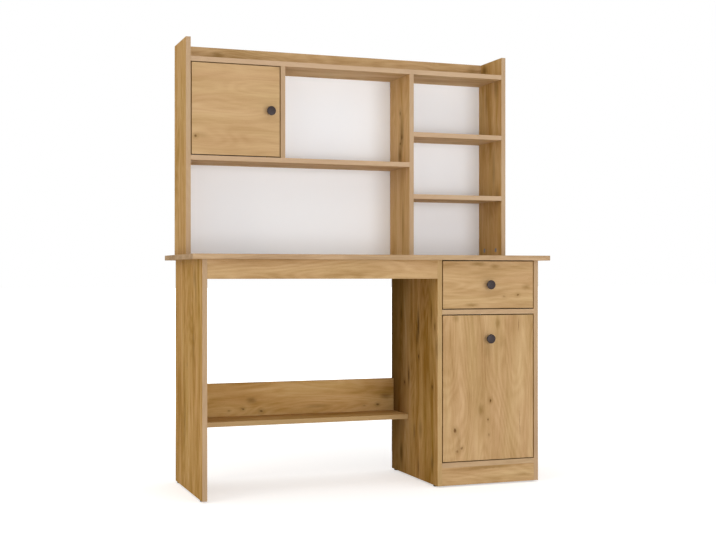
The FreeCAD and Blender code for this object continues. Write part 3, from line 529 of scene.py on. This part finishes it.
    def _figure(self, place: Socket) -> tuple[Socket, Socket]:
        """Shades, bands, streaks, growth lines and pores, weighed together into one tone.

        Growth lines are level lines of a long slow noise, the sine of the noise
        times a count, so they close into the flames of a flat-sawn board.

        Args:
            place: Bent coordinates on the print.

        Returns:
            The tone from 0, deep, to 1, light, and the relief of lines and pores.
        """
        graph, decor = self.graph, self.decor
        lines = self._noise(place, decor.lines)
        slope = graph.maths("MULTIPLY", self._noise(place, decor.rings), decor.ring_count)
        pores = graph.ranged(self._noise(place, decor.pores), decor.pore_cut)
        tone: Number = decor.tone + self.board.tone
        layers = [(self._noise(place, layer), layer, 0.5)
                  for layer in (decor.shades, decor.bands, decor.streaks)]
        layers += [(lines, decor.lines, 0.5), (graph.maths("SINE", slope), decor.rings, 0.0),
                   (pores, decor.pores, 0.0)]
        for value, layer, middle in layers:
            tone = graph.maths("MULTIPLY_ADD", graph.maths("SUBTRACT", value, middle),
                               layer.weight * self.board.contrast, tone)
        sunk = graph.maths("MULTIPLY", pores, -1.0)
        return tone, graph.maths("MULTIPLY_ADD", lines, 0.35, sunk)

    def _colour(self, tone: Socket, place: Socket) -> Socket:
        """Turn the tone into oak colours and lay the marks over it, the last on top.

        Args:
            tone: From 0, deep, to 1, light.
            place: Bent coordinates on the print.

        Returns:
            The finished colour.
        """
        graph, decor = self.graph, self.decor
        ramp = graph.add("ValToRGB", {0: tone})
        stops = ramp.color_ramp.elements
        stops[0].color, stops[1].color = linear(decor.deep), linear(decor.light)
        for at, shade in ((0.28, decor.brown), (0.5, decor.tan)):
            stops.new(at).color = linear(shade)
        hue = graph.ranged(self._noise(place, decor.warmth), (0.3, 0.7), decor.warmth_hue)
        colour = graph.add("HueSaturation", {"Hue": hue, "Saturation": decor.saturation,
                                             "Color": ramp.outputs[0]}).outputs[0]
        for strength, shade in self.marks:
            colour = graph.mixed(strength, colour, shade)
        return colour


# --- The other finishes ---

class RawFace(Enum):
    """Which way a sheet's raw face looks: the axis and the side."""

    WALL = (1, 1.0)
    FLOOR = (2, -1.0)


@dataclass(frozen=True)
class PaintedHardboard:
    """High-density fibreboard, roller painted white on one face and raw on the other.

    The eye sees a matt, clean white with a faint orange-peel, and the brown
    fibre of the raw face from behind.
    """

    name: str
    raw_face: RawFace
    white: str = "#F9FCFF"
    raw: str = "#8A6440"
    raw_dark: str = "#6F4D2E"
    peel_mm: float = 2.5
    fibre_mm: float = 1.6
    roughness: Pair = (0.55, 0.85)      # of the paint and of the raw face
    specular: float = 0.3

    def material(self) -> Material:
        """Make the material.

        Returns:
            The material.
        """
        material, graph = new_material(self.name)
        axis, side = self.raw_face.value
        facing = graph.maths("MULTIPLY", graph.part(graph.place("Normal"), axis), side)
        raw = graph.maths("GREATER_THAN", facing, 0.5)
        peel, fibre = graph.noise(self.peel_mm, 2.0), graph.noise(self.fibre_mm, 4.0, 0.65)
        colour = graph.mixed(raw, self.white, graph.mixed(fibre, self.raw_dark, self.raw))
        relief = graph.add("Mix", {0: raw, 2: peel, 3: fibre}).outputs[0]
        graph.finish(colour, graph.ranged(raw, wanted=self.roughness), relief, strength=0.25,
                     depth_mm=0.15, specular=self.specular)
        return material


@dataclass(frozen=True)
class KnobLacquer:
    """Die-cast zinc knob under a satin graphite lacquer.

    The eye sees a nearly black warm grey with a soft highlight and a trace of
    metal flake.
    """

    graphite: str = "#2E2524"
    flake: str = "#423534"
    flake_mm: float = 0.6       # real flakes are finer; drawn coarser so that they show
    roughness: Pair = (0.40, 0.52)
    specular: float = 0.2
    metallic: float = 0.05

    def material(self) -> Material:
        """Make the material.

        Returns:
            The material.
        """
        material, graph = new_material("graphite_knob_lacquer")
        flakes = graph.add("TexVoronoi", {"Vector": graph.place("Object"),
                                          "Scale": 1 / (self.flake_mm * MM)})
        picks = graph.add("SeparateColor", {0: flakes.outputs["Color"]})
        spark = graph.ranged(picks.outputs[0], (0.6, 1.0))
        graph.finish(graph.mixed(spark, self.graphite, self.flake),
                     graph.ranged(picks.outputs[1], wanted=self.roughness),
                     specular=self.specular, metallic=self.metallic)
        return material


@dataclass(frozen=True)
class PlatedSteel:
    """Pressed or turned steel under a thin metal plating.

    Bright zinc looks cool, a little cloudy and rolled; nickel is warmer and
    smoother.  The roughness is that of its shiny and of its dull clouds.
    """

    name: str
    shine: str
    dull: str
    cloud_mm: float
    roughness: Pair
    grain_mm: float = 0.625

    def material(self) -> Material:
        """Make the material.

        Returns:
            The material.
        """
        material, graph = new_material(self.name)
        cloud = graph.noise(self.cloud_mm, 3.0, 0.6)
        graph.finish(graph.mixed(cloud, self.dull, self.shine),
                     graph.ranged(cloud, (0.3, 0.7), self.roughness[::-1]),
                     graph.noise(self.grain_mm, 2.0), strength=0.12, depth_mm=0.05, metallic=1.0)
        return material


@dataclass(frozen=True)
class MouldedPlastic:
    """Injection-moulded plastic with a fine spark-eroded grain."""

    name: str
    colour: str
    worn: str
    grain_mm: float
    roughness: float
    spread: float = 0.08        # how far the roughness varies

    def material(self) -> Material:
        """Make the material.

        Returns:
            The material.
        """
        material, graph = new_material(self.name)
        grain = graph.noise(self.grain_mm, 3.0)
        roughness = (self.roughness - self.spread, self.roughness + self.spread)
        graph.finish(graph.mixed(grain, self.colour, self.worn),
                     graph.ranged(grain, wanted=roughness), grain, strength=0.2, depth_mm=0.1)
        return material


@dataclass(frozen=True)
class TurnedBeech:
    """Plain beech dowel rod, compressed and fluted by rolling.

    The eye sees a pale pinkish wood with short darker flecks.
    """

    pale: str = "#D9B98E"
    pink: str = "#C69C6E"
    fleck: str = "#9A6F45"
    grain_mm: float = 3.0
    fleck_mm: float = 0.9
    roughness: float = 0.7

    def material(self) -> Material:
        """Make the material.

        Returns:
            The material.
        """
        material, graph = new_material("turned_beech")
        grain = graph.noise(self.grain_mm, 3.0)
        dark = graph.ranged(graph.noise(self.fleck_mm, 1.0), (0.6, 0.7), (0.0, 0.5))
        wood = graph.mixed(grain, self.pale, self.pink)
        graph.finish(graph.mixed(dark, wood, self.fleck), self.roughness, grain, strength=0.3,
                     depth_mm=0.1)
        return material


ZINC = PlatedSteel("bright_zinc_plate", "#C6CACE", "#A9AEB3", 9.0, (0.28, 0.42))
CAST_ZINC = PlatedSteel("die_cast_zinc", "#9FA2A5", "#85888B", 6.0, (0.42, 0.58))
BALL_STEEL = PlatedSteel("polished_ball_steel", "#D4D6D8", "#C4C7CA", 2.0, (0.08, 0.14))
NICKEL = PlatedSteel("nickel_plate", "#B4B0A7", "#9C978D", 14.0, (0.32, 0.46))
BLACK_PLASTIC = MouldedPlastic("black_moulded_polypropylene", "#161616", "#262524", 0.8, 0.52)
CAGE_NYLON = MouldedPlastic("ball_cage_nylon", "#E2E0D6", "#CFCCC0", 1.2, 0.45)


# --- Meshes from grids ---

def surface(points: np.ndarray) -> Surface:
    """Turn a closed-round grid whose end rows are poles into points and faces.

    Args:
        points: Array (rows, columns, 3); each end row is one repeated point.

    Returns:
        Points with each pole once, and faces, with -1 in a triangle's last place.
    """
    rows, columns, _ = points.shape
    body = points[1:-1].reshape(-1, 3)
    ring = np.arange(columns)
    after = (ring + 1) % columns
    start = np.arange(rows - 3)[:, None] * columns
    quads = np.stack([start + ring, start + after, start + columns + after,
                      start + columns + ring], axis=-1).reshape(-1, 4)
    pole, empty, end = ring * 0 + len(body), ring * 0 - 1, (rows - 3) * columns
    top = np.stack([pole, after, ring, empty], axis=-1)
    bottom = np.stack([pole + 1, end + ring, end + after, empty], axis=-1)
    return np.vstack([body, points[0, :1], points[-1, :1]]), np.vstack([quads, top, bottom])


def make_piece(name: str, parts: list[Surface], material: Material) -> bpy.types.Object:
    """Put several closed surfaces into one mesh object at the origin.

    Args:
        name: The piece's name.
        parts: Points and faces of each surface.
        material: Its finish.

    Returns:
        The object, linked to the scene.
    """
    starts = np.cumsum([0] + [len(points) for points, _ in parts])
    every = np.vstack([np.where(faces >= 0, faces + start, -1)
                       for (_, faces), start in zip(parts, starts)])
    mesh = bpy.data.meshes.new(name)
    mesh.from_pydata(np.vstack([points for points, _ in parts]).tolist(), [],
                     [[int(i) for i in face if i >= 0] for face in every])
    mesh.shade_smooth()
    mesh.set_sharp_from_angle(angle=math.radians(35))
    mesh.materials.append(material)
    return put(name, mesh)


def islands(node_name: str) -> list[np.ndarray]:
    """The separate solids of a frame node, as arrays of their points.

    Points closer than a hundredth of a millimetre are one, and labels spread
    over the triangles until nothing changes.

    Args:
        node_name: The frame node.

    Returns:
        One array of points for each solid, from the lowest label up.
    """
    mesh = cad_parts[node_name].data
    points = np.empty(len(mesh.vertices) * 3)
    mesh.vertices.foreach_get("co", points)
    points = points.reshape(-1, 3)
    mesh.calc_loop_triangles()
    triangles = np.empty(len(mesh.loop_triangles) * 3, dtype=np.int64)
    mesh.loop_triangles.foreach_get("vertices", triangles)
    welded, link = np.unique(np.round(points / (0.01 * MM)), axis=0, return_inverse=True)
    triangles = link.ravel()[triangles].reshape(-1, 3)
    label = np.arange(len(welded))
    while True:
        low = label[triangles].min(axis=1)
        spread = label.copy()
        np.minimum.at(spread, triangles.ravel(), np.repeat(low, 3))
        if np.array_equal(spread, label):
            break
        label = spread
    return [welded[label == value] * 0.01 * MM for value in np.unique(label)]


# --- Screws ---

@dataclass(frozen=True)
class ScrewPlace:
    """Where a screw sits: the middle of its head's underside, its directions and sizes.

    The rows of axes are two directions square to the screw and the one it looks in.
    """

    seat: np.ndarray
    axes: np.ndarray
    head_radius: float
    shank_radius: float
    shank_length: float

    def laid(self, *sides: np.ndarray) -> Surface:
        """Lay a grid, given to two sides of the seat and over it, into the frame."""
        return surface(self.seat + np.stack(np.broadcast_arrays(*sides), axis=-1) @ self.axes)


@dataclass
class ScrewSet:
    """Pan-head screws with a cross recess, in the places of one frame node.

    The recess and the pitch are those of a 3.5 to 4 mm chipboard screw.
    """

    node: str
    body: str
    head_height: float
    plating: Material
    slot_name: str = "zinc_steel"
    dome_share: float = 0.62        # how much of the head's height its dome falls to the rim
    recess_length: float = 3.9 * MM
    recess_width: float = 1.0 * MM
    recess_depth: float = 1.2 * MM
    recess_slope: float = 0.28 * MM     # width of the recess's slanting wall
    pitch: float = 1.6 * MM
    thread_depth: float = 0.45 * MM
    point_share: float = 1.6        # length of the tapered point in shank radii
    head_angles: int = 64
    shank_angles: int = 20
    shank_rows: int = 40

    def build(self) -> None:
        """Make all the screws of the set as one piece and put it for the node."""
        places = [self._place(points) for points in islands(self.node)]
        parts = [part for place in places for part in (self._head(place), self._shank(place))]
        piece = make_piece(self.node + "_turned", parts, self.plating)
        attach(piece, self.body)
        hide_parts(self.node)
        log.info("%s: %d faces", piece.name, len(piece.data.polygons))

    def _place(self, points: np.ndarray) -> ScrewPlace:
        """Read a screw's place from its solid: it lies along its longest side.

        Args:
            points: The solid's points.

        Returns:
            The screw's place and sizes.
        """
        low, high = points.min(axis=0), points.max(axis=0)
        along = int(np.argmax(high - low))
        middle = (low + high) / 2
        radial = np.linalg.norm(np.delete(points - middle, along, axis=1), axis=1)
        wide = points[radial > 0.98 * radial.max(), along].mean()
        sign = 1.0 if wide > middle[along] else -1.0
        top, tip = (high[along], low[along]) if sign > 0 else (low[along], high[along])
        shank_radius = radial[np.abs(points[:, along] - tip) < 0.2 * MM].max()
        seat, out = middle.copy(), np.zeros(3)
        seat[along], out[along] = top - sign * self.head_height, sign
        side = np.roll(np.abs(out), 1)
        return ScrewPlace(seat, np.stack([side, np.cross(out, side), out]), radial.max(),
                          shank_radius, abs(top - tip) - self.head_height)

    def _head(self, place: ScrewPlace) -> Surface:
        """The head as a polar grid.

        Height over the seat is the head's height times one less the dome's
        share of the radius share to the fourth, less the recess: its depth
        times how far a point lies inside either bar of the cross.

        Args:
            place: The screw's place.

        Returns:
            Points and faces.
        """
        share = np.concatenate([np.linspace(0, 0.72, 19), np.linspace(0.78, 1.0, 6)])[:, None]
        angle = np.linspace(0, FULL_TURN, self.head_angles, endpoint=False)
        across = np.vstack([share, [[1.0], [0.0]]]) * place.head_radius
        x, y = across * np.cos(angle), across * np.sin(angle)
        sides = np.abs(np.stack([x[:-2], y[:-2]]))
        inside = np.minimum(self.recess_length / 2 - sides, self.recess_width / 2 - sides[::-1])
        cross = np.clip(inside / self.recess_slope, 0, 1).max(axis=0)
        dome = self.head_height * (1 - share ** 4 * self.dome_share)
        under = np.zeros((2, self.head_angles))
        return place.laid(x, y, np.vstack([dome - self.recess_depth * cross, under]))

    def _shank(self, place: ScrewPlace) -> Surface:
        """The threaded shank as a turned grid with a point.

        The radius at a depth and an angle is the core's plus the thread's depth
        times a saw wave of the depth over the pitch less the angle over a full
        turn; it runs to nothing over the point.

        Args:
            place: The screw's place.

        Returns:
            Points and faces.
        """
        depth = np.linspace(0, place.shank_length, self.shank_rows)[:, None]
        angle = np.linspace(0, FULL_TURN, self.shank_angles, endpoint=False)
        phase = (depth / self.pitch - angle / FULL_TURN) % 1.0
        crest = np.clip(1 - np.abs(phase - 0.5) * 4, 0, 1)
        point = self.point_share * place.shank_radius
        taper = np.clip((place.shank_length - depth) / point, 0, 1) ** 0.7
        core = place.shank_radius - self.thread_depth
        radius = (core + self.thread_depth * crest) * taper
        radius[0] = 0
        return place.laid(radius * np.cos(angle), radius * np.sin(angle), -depth)


# --- Sub-assemblies ---

@dataclass
class BoardWork:
    """A set of oak-faced boards of one sub-assembly."""

    title: str
    boards: dict[str, Board]
    first_seed: int
    decor: OakDecor = OakDecor()

    def dress(self) -> None:
        """Give every board its own piece of the oak print."""
        for number, (name, board) in enumerate(self.boards.items()):
            piece = OakPrint(self.decor, name, board, self.first_seed + number)
            dress(piece.material(), name)
        log.info("%s: %d oak-faced boards", self.title, len(self.boards))


def base_boards() -> list[BoardWork]:
    """The desk's base: uprights with standing grain, the rest with lying grain.

    Returns:
        The uprights, the lying boards and the boards of the knee space.
    """
    uprights = {
        "left_leg_panel": Board(Cut.UPRIGHT, (
            knot(398, 215, 9, 4, 0.5), smear_and_shade(571, 265, 40, 6, 0.4),
            smear_and_shade(470, 120, 90, 14, 0.35), smear_and_shade(220, 250, 110, 12, 0.35),
            smear_and_shade(640, 90, 80, 12, 0.4)), contrast=1.4),
        "cabinet_right_panel": Board(Cut.UPRIGHT),
    }
    lying = {
        "desktop": Board(Cut.SHELF, tone=-0.12, contrast=1.3),
        "front_apron": Board(Cut.RAIL, tone=-0.08),
        "cabinet_fixed_shelf": Board(Cut.SHELF),
        "cabinet_bottom_board": Board(Cut.SHELF),
        "cabinet_plinth": Board(Cut.RAIL, (
            smear_and_shade(165, 53, 110, 6, 0.7), smear_and_shade(292, 22, 40, 6, 0.4)), -0.06),
        "cabinet_loose_shelf": Board(Cut.SHELF),
    }
    knee_space = {
        "cabinet_left_panel": Board(Cut.UPRIGHT, (
            knot(409, 158, 11, 6), knot(313, 281, 9, 6), smear_and_shade(341, 244, 45, 11, 0.85),
            knot(317, 43, 10, 6, 0.7), smear_and_shade(66, 311, 50, 17, 0.85),
            smear_and_shade(511, 159, 70, 13, 0.9), smear_and_shade(470, 173, 35, 11, 0.6),
            smear_and_shade(547, 311, 40, 11, 0.7), smear_and_shade(553, 50, 45, 9, 0.6),
            knot(514, 23, 18, 8, 0.5), smear_and_shade(153, 194, 40, 12, 0.5),
            smear_and_shade(38, 159, 35, 12, 0.55), smear_and_shade(71, 43, 40, 14, 0.6),
            # painted shade: the last two patches darken the top rear corner and the whole rear
            # strip of this face, where the knee space lies in shade
            smear_and_shade(740, 320, 150, 200, 0.65), smear_and_shade(520, 420, 1150, 205, 0.95)), -0.10, 1.3),
        "modesty_panel": Board(Cut.RAIL, (
            smear_and_shade(238, 52, 22, 12, 0.5), knot(161, 19, 5, 4, 0.45),
            knot(209, 24, 6, 4.5, 0.65), knot(273, 15, 7, 5, 0.7),
            smear_and_shade(724, 51, 26, 14, 0.55), knot(694, 22, 7, 5, 0.65),
            knot(644, 20, 6, 4, 0.35), smear_and_shade(470, 24, 60, 8, 0.3)), 0.05, 1.05),
        "modesty_ledge": Board(Cut.SHELF),
    }
    # shaded copy of the oak for the base's uprights: its higher saturation and darker tone paint
    # the warm shade on their side faces
    side_shade_decor = OakDecor(olive="#66480F", knot="#4E3212", band_share=0.65, tone=0.355,
                             saturation=1.18)
    # shaded copy of the oak for the knee space: higher saturation paints its warm shade, the
    # darker olive colours both the smears and the painted shade of the rear patches, and it has
    # no gloss
    knee_shade_decor = OakDecor(olive="#563D15", knot="#4A2F10", band="#B2976F", band_share=0.65,
                          saturation=1.11, specular=0.0)
    return [BoardWork("base uprights", uprights, 1, side_shade_decor),
            BoardWork("base", lying, 4),
            BoardWork("knee space", knee_space, 11, knee_shade_decor)]


def hutch_boards() -> list[BoardWork]:
    """The hutch's boards: uprights with standing grain, the rest with lying grain.

    Returns:
        The uprights and the lying boards.
    """
    uprights = {
        "hutch_left_side": Board(Cut.UPRIGHT, tone=-0.05, contrast=1.4),
        "hutch_right_side": Board(Cut.UPRIGHT, (
            smear_and_shade(672, 135, 24, 30, 0.75), smear_and_shade(560, 120, 60, 12, 0.35),
            smear_and_shade(300, 60, 90, 14, 0.35)), 0.06, 1.3),
        "hutch_tall_divider": Board(Cut.UPRIGHT, (
            knot(496, 84, 10, 6, 0.7), knot(413, 70, 14, 9, 0.65), knot(391, 82, 7, 8, 0.6),
            smear_and_shade(348, 86, 45, 22, 0.8), smear_and_shade(430, 70, 80, 20, 0.6),
            smear_and_shade(120, 60, 90, 10, 0.4)), 0.22, 1.3),
        "hutch_short_divider": Board(Cut.UPRIGHT),
    }
    lying = {
        "hutch_top_shelf": Board(Cut.SHELF, tone=0.15),
        "hutch_back_rail": Board(Cut.RAIL, (
            smear_and_shade(125, 38, 26, 13, 0.75), knot(1060, 25, 8, 6, 0.5),
            smear_and_shade(1066, 30, 22, 24, 0.6)), 0.05, 1.2),
        "hutch_middle_shelf": Board(Cut.SHELF, tone=0.15),
        "hutch_column_lower_shelf": Board(Cut.SHELF, tone=0.15),
        "hutch_column_upper_shelf": Board(Cut.SHELF, tone=0.15),
    }
    # side-lit copy of the oak for the hutch's uprights: its higher saturation and lighter tone
    # paint in how the light falls on their side faces
    side_shade_decor = OakDecor(olive="#6B4F1E", knot="#4E3212", band_share=0.65, tone=0.49,
                             saturation=1.14)
    return [BoardWork("hutch uprights", uprights, 21, side_shade_decor),
            BoardWork("hutch", lying, 25, OakDecor(band="#BBA086", band_share=0.65))]


def front_boards() -> BoardWork:
    """The drawer front and the two doors, with the marks of their faces.

    Returns:
        The three fronts.
    """
    return BoardWork("fronts", {
        "cabinet_door": Board(Cut.DOOR, (
            knot(193, 170, 7, 5, 0.9), smear_and_shade(162, 135, 26, 13, 0.75),
            knot(131, 161, 6, 4, 0.7), knot(100, 43, 10, 7, 0.85), knot(82, 164, 6, 4, 0.4),
            knot(42, 66, 6, 5, 0.6), knot(32, 50, 6, 6, 0.55), smear_and_shade(62, 56, 45, 9, 0.45),
            smear_and_shade(446, 197, 22, 10, 0.7), smear_and_shade(463, 46, 14, 14, 0.5),
            crack(441, 272, 30, 3, 0.75), crack(120, 276, 70, 3, 0.4)), -0.05, 0.85),
        "drawer_front": Board(Cut.RAIL, (
            smear_and_shade(125, 145, 34, 8, 0.75), smear_and_shade(186, 137, 22, 9, 0.7),
            smear_and_shade(300, 69, 20, 11, 0.65), smear_and_shade(103, 11, 30, 8, 0.7),
            knot(270, 43, 6, 4, 0.7), knot(219, 38, 6, 5, 0.35)), -0.06, 0.85),
        "hutch_door": Board(Cut.RAIL, (
            knot(12, 57, 6, 6, 0.85), smear_and_shade(30, 62, 30, 12, 0.3)), 0.05, 0.6),
    # the fronts' edge band is a dark brown: painted shade that darkens the reveal gaps round the
    # closed fronts
    }, 41, OakDecor(band="#8E6C42", band_share=0.6))


def drawer_boards() -> BoardWork:
    """The drawer box's sides and back."""
    return BoardWork("drawer box", {"drawer_left_side": Board(Cut.DRAWER_SIDE),
                                    "drawer_right_side": Board(Cut.DRAWER_SIDE),
                                    "drawer_back_board": Board(Cut.RAIL)}, 51)


@dataclass
class Sheets:
    """The thin painted sheets: two back panels and the drawer's bottom."""

    zinc: Material
    tack_radius: float = 2.6 * MM
    tack_height: float = 0.7 * MM
    tack_pitch: float = 105 * MM
    tack_inset: float = 8 * MM
    tack_angles: int = 10
    tack_profile: tuple[Pair, ...] = ((0.0, 1.0), (0.45, 0.86), (0.8, 0.52), (1.0, 0.2),
                                      (1.0, 0.0), (0.0, 0.0))      # shares of radius, height
    spines: dict[str, tuple[str, ...]] = field(default_factory=lambda: {
        "hutch_back_panel": ("hutch_left_side", "hutch_right_side", "hutch_tall_divider",
                             "hutch_short_divider", "hutch_middle_shelf",
                             "hutch_column_lower_shelf", "hutch_column_upper_shelf",
                             "hutch_top_shelf"),
        "cabinet_back_panel": ("cabinet_left_panel", "cabinet_right_panel",
                               "cabinet_fixed_shelf", "cabinet_bottom_board")})

    def dress(self) -> None:
        """White to the room, raw fibre to the wall or the floor."""
        back = PaintedHardboard("painted_hardboard_back", RawFace.WALL)
        bottom = PaintedHardboard("painted_hardboard_drawer", RawFace.FLOOR)
        dress(back.material(), *self.spines)
        dress(bottom.material(), "drawer_bottom")
        log.info("sheets: two back panels and the drawer bottom")

    def build_tacks(self) -> None:
        """Tack heads on the back panels, over the boards behind them."""
        for sheet, spines in self.spines.items():
            points = self._thinned(np.vstack([self._row(sheet, spine) for spine in spines]))
            tacks = [self._tack(point) for point in points]
            piece = make_piece(sheet + "_tacks", tacks, self.zinc)
            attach(piece, "carcass")
            log.info("%s: %d tacks", sheet, len(points))

    def _row(self, sheet: str, spine: str) -> np.ndarray:
        """Tack places along the middle line of the board behind a sheet.

        Args:
            sheet: The back panel's node.
            spine: The board's node.

        Returns:
            Points on the sheet's back face.
        """
        low, high, board_low, board_high = map(np.array, (*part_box(sheet), *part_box(spine)))
        start = np.maximum(low, board_low) + self.tack_inset
        end = np.minimum(high, board_high) - self.tack_inset
        along = 0 if end[0] - start[0] > end[2] - start[2] else 2
        across = 2 - along
        count = max(2, round((end[along] - start[along]) / self.tack_pitch) + 1)
        points = np.empty((count, 3))
        points[:, along] = np.linspace(start[along], end[along], count)
        points[:, across] = (start[across] + end[across]) / 2
        points[:, 1] = high[1]
        return points

    def _thinned(self, points: np.ndarray) -> np.ndarray:
        """Leave out each tack that stands within a quarter of a pitch of an earlier one."""
        apart = np.linalg.norm(points[:, None] - points[None], axis=2)
        return points[~np.tril(apart < self.tack_pitch / 4, -1).any(axis=1)]

    def _tack(self, place: np.ndarray) -> Surface:
        """A low dome turned from the tack's profile, square to the sheet.

        Args:
            place: The middle of its foot.

        Returns:
            Points and faces.
        """
        share, rise = np.array(self.tack_profile).T[..., None]
        angle = np.linspace(0, FULL_TURN, self.tack_angles, endpoint=False)
        offset = np.broadcast_arrays(self.tack_radius * share * np.sin(angle),
                                     self.tack_height * rise,
                                     self.tack_radius * share * np.cos(angle))
        return surface(place + np.stack(offset, axis=-1))


@dataclass
class Hardware:
    """Knobs, slides, hinges, glides, pins and every screw."""

    zinc: Material
    pan_height: float = 1.7 * MM
    knob_head_height: float = 2.0 * MM

    def dress(self) -> None:
        """Finish the frame's own metal and plastic pieces."""
        dress(KnobLacquer().material(), "drawer_knob", "cabinet_door_knob", "hutch_door_knob")
        dress(self.zinc, "slide_outer_members", "slide_middle_members", "slide_inner_members",
              "shelf_pins", "cam_bolts", "cabinet_hinge_pins", "hutch_hinge_pins")
        dress(BALL_STEEL.material(), "slide_balls")
        dress(NICKEL.material(), "hinge_plates", "hinge_arms", "cabinet_hinge_cups",
              "hutch_hinge_cups")
        dress(CAST_ZINC.material(), "cam_locks")
        dress(TurnedBeech().material(), "wood_dowels", "drawer_dowels")
        dress(BLACK_PLASTIC.material(), "glide_feet")
        dress(CAGE_NYLON.material(), "slide_ball_cages")
        log.info("hardware: knobs, slides, hinges, fittings, dowels, pins and glides")

    def build_screws(self) -> None:
        """Replace each plain screw node by turned screws."""
        pans = {"slide_fixing_screws": "carcass", "drawer_slide_screws": "drawer",
                "hinge_plate_screws": "carcass", "hinge_arm_screws": "carcass",
                "cabinet_hinge_cup_screws": "cabinet_door",
                "hutch_hinge_cup_screws": "hutch_door"}
        knob_screws = {"drawer_knob_screw": "drawer", "cabinet_door_knob_screw": "cabinet_door",
                       "hutch_door_knob_screw": "hutch_door"}
        for height, sets in ((self.pan_height, pans), (self.knob_head_height, knob_screws)):
            for node, body in sets.items():
                ScrewSet(node, body, height, self.zinc).build()


# --- Studio and camera ---

@dataclass(frozen=True)
class SoftBox:
    """A rectangular lamp that looks at the desk."""

    name: str
    place: Triple
    width: float
    height: float
    power: float
    colour: str
    aim: Triple = (0.0, 0.0, 0.72)

    def build(self) -> None:
        """Make the lamp."""
        data = bpy.data.lights.new(self.name, "AREA")
        data.shape, data.energy = "RECTANGLE", self.power
        data.size, data.size_y = self.width, self.height
        data.color = linear(self.colour)[:3]
        lamp = put(self.name, data)
        lamp.location = self.place
        look = Vector(self.aim) - Vector(self.place)
        lamp.rotation_euler = look.to_track_quat("-Z", "Y").to_euler()
        lamp.visible_camera = False


@dataclass
class Studio:
    """White room with a wide soft light before the desk and a weak warm one on its left.

    The ceiling gives more light than the walls, and the floor throws a little
    back.  What the camera or a mirror image shows of the room is white.
    """

    wall_light: float = 0.14
    ceiling_light: float = 0.95
    ceiling_starts: float = 0.8     # upward part of a direction that sees the full ceiling
    floor_light: float = 0.13
    floor_half: float = 60.0
    floor_colour: str = "#E2E1E0"
    floor_glow: Pair = (0.49, 0.97)     # its own light by the desk and far away
    glow_reach: Pair = (0.6, 3.0)       # metres from the desk's middle where these hold
    lamps: tuple[SoftBox, ...] = (
        SoftBox("key_softbox", (0.5, -4.4, 0.8), 3.4, 1.7, 100.0, "#F8FAFF"),
        SoftBox("left_softbox", (-3.7, -1.5, 2.0), 1.8, 1.8, 26.0, "#FFF2DC"),
    )

    def build(self) -> None:
        """Make the world, the floor and the lamps."""
        self._world()
        self._floor()
        for lamp in self.lamps:
            lamp.build()
        bpy.context.scene.view_settings.view_transform = "Standard"
        log.info("studio: floor, world and %d lamps", len(self.lamps))

    def _strength(self, graph: Graph, lights: Number, shows: Number) -> Socket:
        """Light that differs where the camera, a reflection or a refraction looks.

        Args:
            graph: The nodes that get it.
            lights: Strength for what it lights.
            shows: Strength where it is seen.

        Returns:
            The strength.
        """
        path = graph.add("LightPath").outputs
        seen = graph.maths("MAXIMUM", path["Is Camera Ray"], path["Is Glossy Ray"])
        seen = graph.maths("MAXIMUM", seen, path["Is Transmission Ray"])
        return graph.ranged(seen, wanted=(lights, shows))

    def _world(self) -> None:
        """Even light on the desk, and white where the background is seen."""
        world = bpy.data.worlds.new("white_room")
        world.use_nodes = True
        world.node_tree.nodes.clear()
        graph = Graph(world.node_tree)
        height = graph.part(graph.place("Generated"), UP)
        room = graph.ranged(height, (0.0, self.ceiling_starts),
                            (self.wall_light, self.ceiling_light))
        glow = graph.add("Background", {"Color": WHITE,
                                        "Strength": self._strength(graph, room, 1.0)})
        graph.add("OutputWorld", {"Surface": glow.outputs[0]})
        bpy.context.scene.world = world

    def _floor(self) -> None:
        """A pale floor that stays nearly white and still takes the desk's shadow."""
        half = self.floor_half
        mesh = bpy.data.meshes.new("studio_floor")
        mesh.from_pydata([(-half, -half, 0), (half, -half, 0), (half, half, 0), (-half, half, 0)],
                         [], [(0, 1, 2, 3)])
        floor = put("studio_floor", mesh)
        material, graph = new_material("pale_floor")
        matt = graph.add("BsdfDiffuse", {"Color": linear(self.floor_colour)})
        away = graph.length(graph.place("Object"))
        level = graph.ranged(away, self.glow_reach, self.floor_glow, smooth=True)
        glow = graph.add("Emission", {"Color": WHITE, "Strength":
                                      self._strength(graph, self.floor_light, level)})
        graph.close(graph.add("AddShader", {0: matt.outputs[0], 1: glow.outputs[0]}))
        mesh.materials.append(material)


@dataclass(frozen=True)
class ViewPoint:
    """The camera: level, well to the left of the desk, a little under its top."""

    place: Triple = (-1.3561, -3.7430, 0.6850)
    turn_degrees: float = -19.95
    focal_pixels: float = 1200.3
    horizon_pixels: float = 275.29
    sensor: float = 36.0

    def build(self) -> None:
        """Make the camera and hand it to the scene."""
        data = bpy.data.cameras.new("desk_camera")
        data.sensor_width = self.sensor
        data.lens = self.focal_pixels / IMAGE_WIDTH * self.sensor
        data.shift_y = (self.horizon_pixels - IMAGE_HEIGHT / 2) / IMAGE_WIDTH
        camera = put("desk_camera", data)
        camera.location = self.place
        camera.rotation_euler = (math.radians(90), 0, math.radians(self.turn_degrees))
        bpy.context.scene.camera = camera


def main() -> None:
    """Dress the desk, set the studio and take the view."""
    logging.basicConfig(level=logging.INFO, format="%(message)s")
    for work in (*base_boards(), *hutch_boards(), front_boards(), drawer_boards()):
        work.dress()
    zinc = ZINC.material()
    hardware = Hardware(zinc)
    hardware.dress()
    hardware.build_screws()
    sheets = Sheets(zinc)
    sheets.dress()
    sheets.build_tacks()
    Studio().build()
    ViewPoint().build()


if __name__ == "__main__":
    main()
